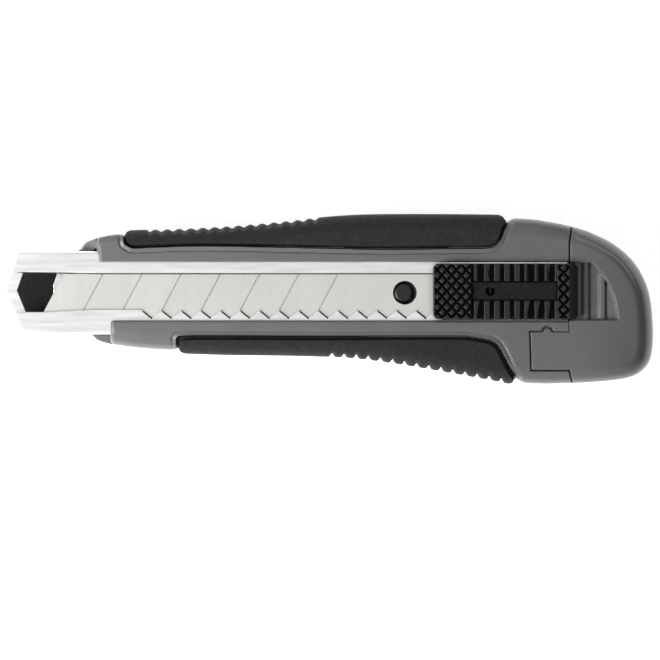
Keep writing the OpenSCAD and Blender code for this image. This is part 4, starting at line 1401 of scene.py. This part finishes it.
def stage_floor():
    """A floor of matt white paper, which glows a little so that it shows nearly white."""
    half = FLOOR_HALF * MM
    low = -FLOOR_DROP * MM
    mesh = bpy.data.meshes.new("floor")
    corners = [(-half, -half, low), (half, -half, low), (half, half, low), (-half, half, low)]
    mesh.from_pydata(corners, [], [(0, 1, 2, 3)])
    floor = add_object("floor", mesh)
    material = bpy.data.materials.new("paper_white_matt")
    tree = new_tree(material)
    paper = noise(tree, (2, 2, 2))
    base = blended(tree, paper, colour("f6f6f6"), colour("fafafa"))
    matt = node(tree, "ShaderNodeBsdfDiffuse", {"Color": base})
    path = node(tree, "ShaderNodeLightPath")
    seen = ranged(tree, path.outputs["Is Camera Ray"], 0.0, FLOOR_LIFT, 0.0, 1.0)
    lift = worked(tree, "MULTIPLY_ADD", path.outputs["Is Glossy Ray"], FLOOR_SHINE, seen)
    glow = node(tree, "ShaderNodeEmission", {"Color": base, "Strength": lift})
    both = node(tree, "ShaderNodeAddShader", {0: matt.outputs[0], 1: glow.outputs[0]})
    node(tree, "ShaderNodeOutputMaterial", {"Surface": both.outputs[0]})
    mesh.materials.append(material)


LAMP_PLACE = (-280, -120, 260)
LAMP_W = 200
LAMP_WATTS = 1.55


def softbox():
    """A square lamp that faces the middle of the knife."""
    lamp = bpy.data.lights.new("key", "AREA")
    lamp.shape = "SQUARE"
    lamp.size = LAMP_W * MM
    lamp.energy = LAMP_WATTS
    made = bpy.data.objects.new("key", lamp)
    made.location = [v * MM for v in LAMP_PLACE]
    toward = -made.location
    made.rotation_euler = toward.to_track_quat("-Z", "Y").to_euler()
    bpy.context.scene.collection.objects.link(made)


WORLD_DIFFUSE = 0.15
WORLD_BRIGHT = 0.9
WORLD_DARK = 0.1
STRIP_BRIGHT = 1.1
LIGHT_SIDE = (-0.75, -0.5, 0.43)
# Where each light of the tent starts and where it is full, as parts of a direction
TOP_EDGE = (0.7, 0.94)
FRONT_EDGE = (0.45, 0.85)
STRIP_EDGE = (0.42, 0.7)
HORIZON_EDGE = (0, 0.15)


def tent(tree):
    """What the shiny faces mirror: a bright top, a lit front and two long strips of light,
    one on each side of the knife, with a dark room between them."""
    around = node(tree, "ShaderNodeTexCoord").outputs["Generated"]
    parts = node(tree, "ShaderNodeSeparateXYZ", {0: around}).outputs
    top = ranged(tree, parts[2], WORLD_DARK, WORLD_BRIGHT, *TOP_EDGE)
    towards = node(tree, "ShaderNodeVectorMath", {0: around, 1: LIGHT_SIDE}, operation="DOT_PRODUCT")
    front = ranged(tree, towards.outputs["Value"], WORLD_DARK, WORLD_BRIGHT, *FRONT_EDGE)
    strip = ranged(tree, worked(tree, "ABSOLUTE", parts[1]), 0.0, STRIP_BRIGHT, *STRIP_EDGE)
    above = ranged(tree, parts[2], 0.0, 1.0, *HORIZON_EDGE)
    strip = worked(tree, "MULTIPLY", strip, above)
    return worked(tree, "MAXIMUM", worked(tree, "MAXIMUM", top, front), strip)


def studio_world():
    """A light tent, which is white behind the knife and dim for what is matt."""
    world = bpy.data.worlds.new("studio")
    bpy.context.scene.world = world
    tree = new_tree(world)
    path = node(tree, "ShaderNodeLightPath")
    glossy = path.outputs["Is Glossy Ray"]
    shown = node(tree, "ShaderNodeMix", {0: glossy, 2: WORLD_DIFFUSE, 3: tent(tree)})
    camera_ray = path.outputs["Is Camera Ray"]
    strength = node(tree, "ShaderNodeMix", {0: camera_ray, 2: shown.outputs[0], 3: 1.0})
    inputs = {"Color": (1, 1, 1, 1), "Strength": strength.outputs[0]}
    light = node(tree, "ShaderNodeBackground", inputs)
    node(tree, "ShaderNodeOutputWorld", {"Surface": light.outputs[0]})


stage_floor()
studio_world()
softbox()
bpy.context.scene.view_settings.view_transform = "Standard"
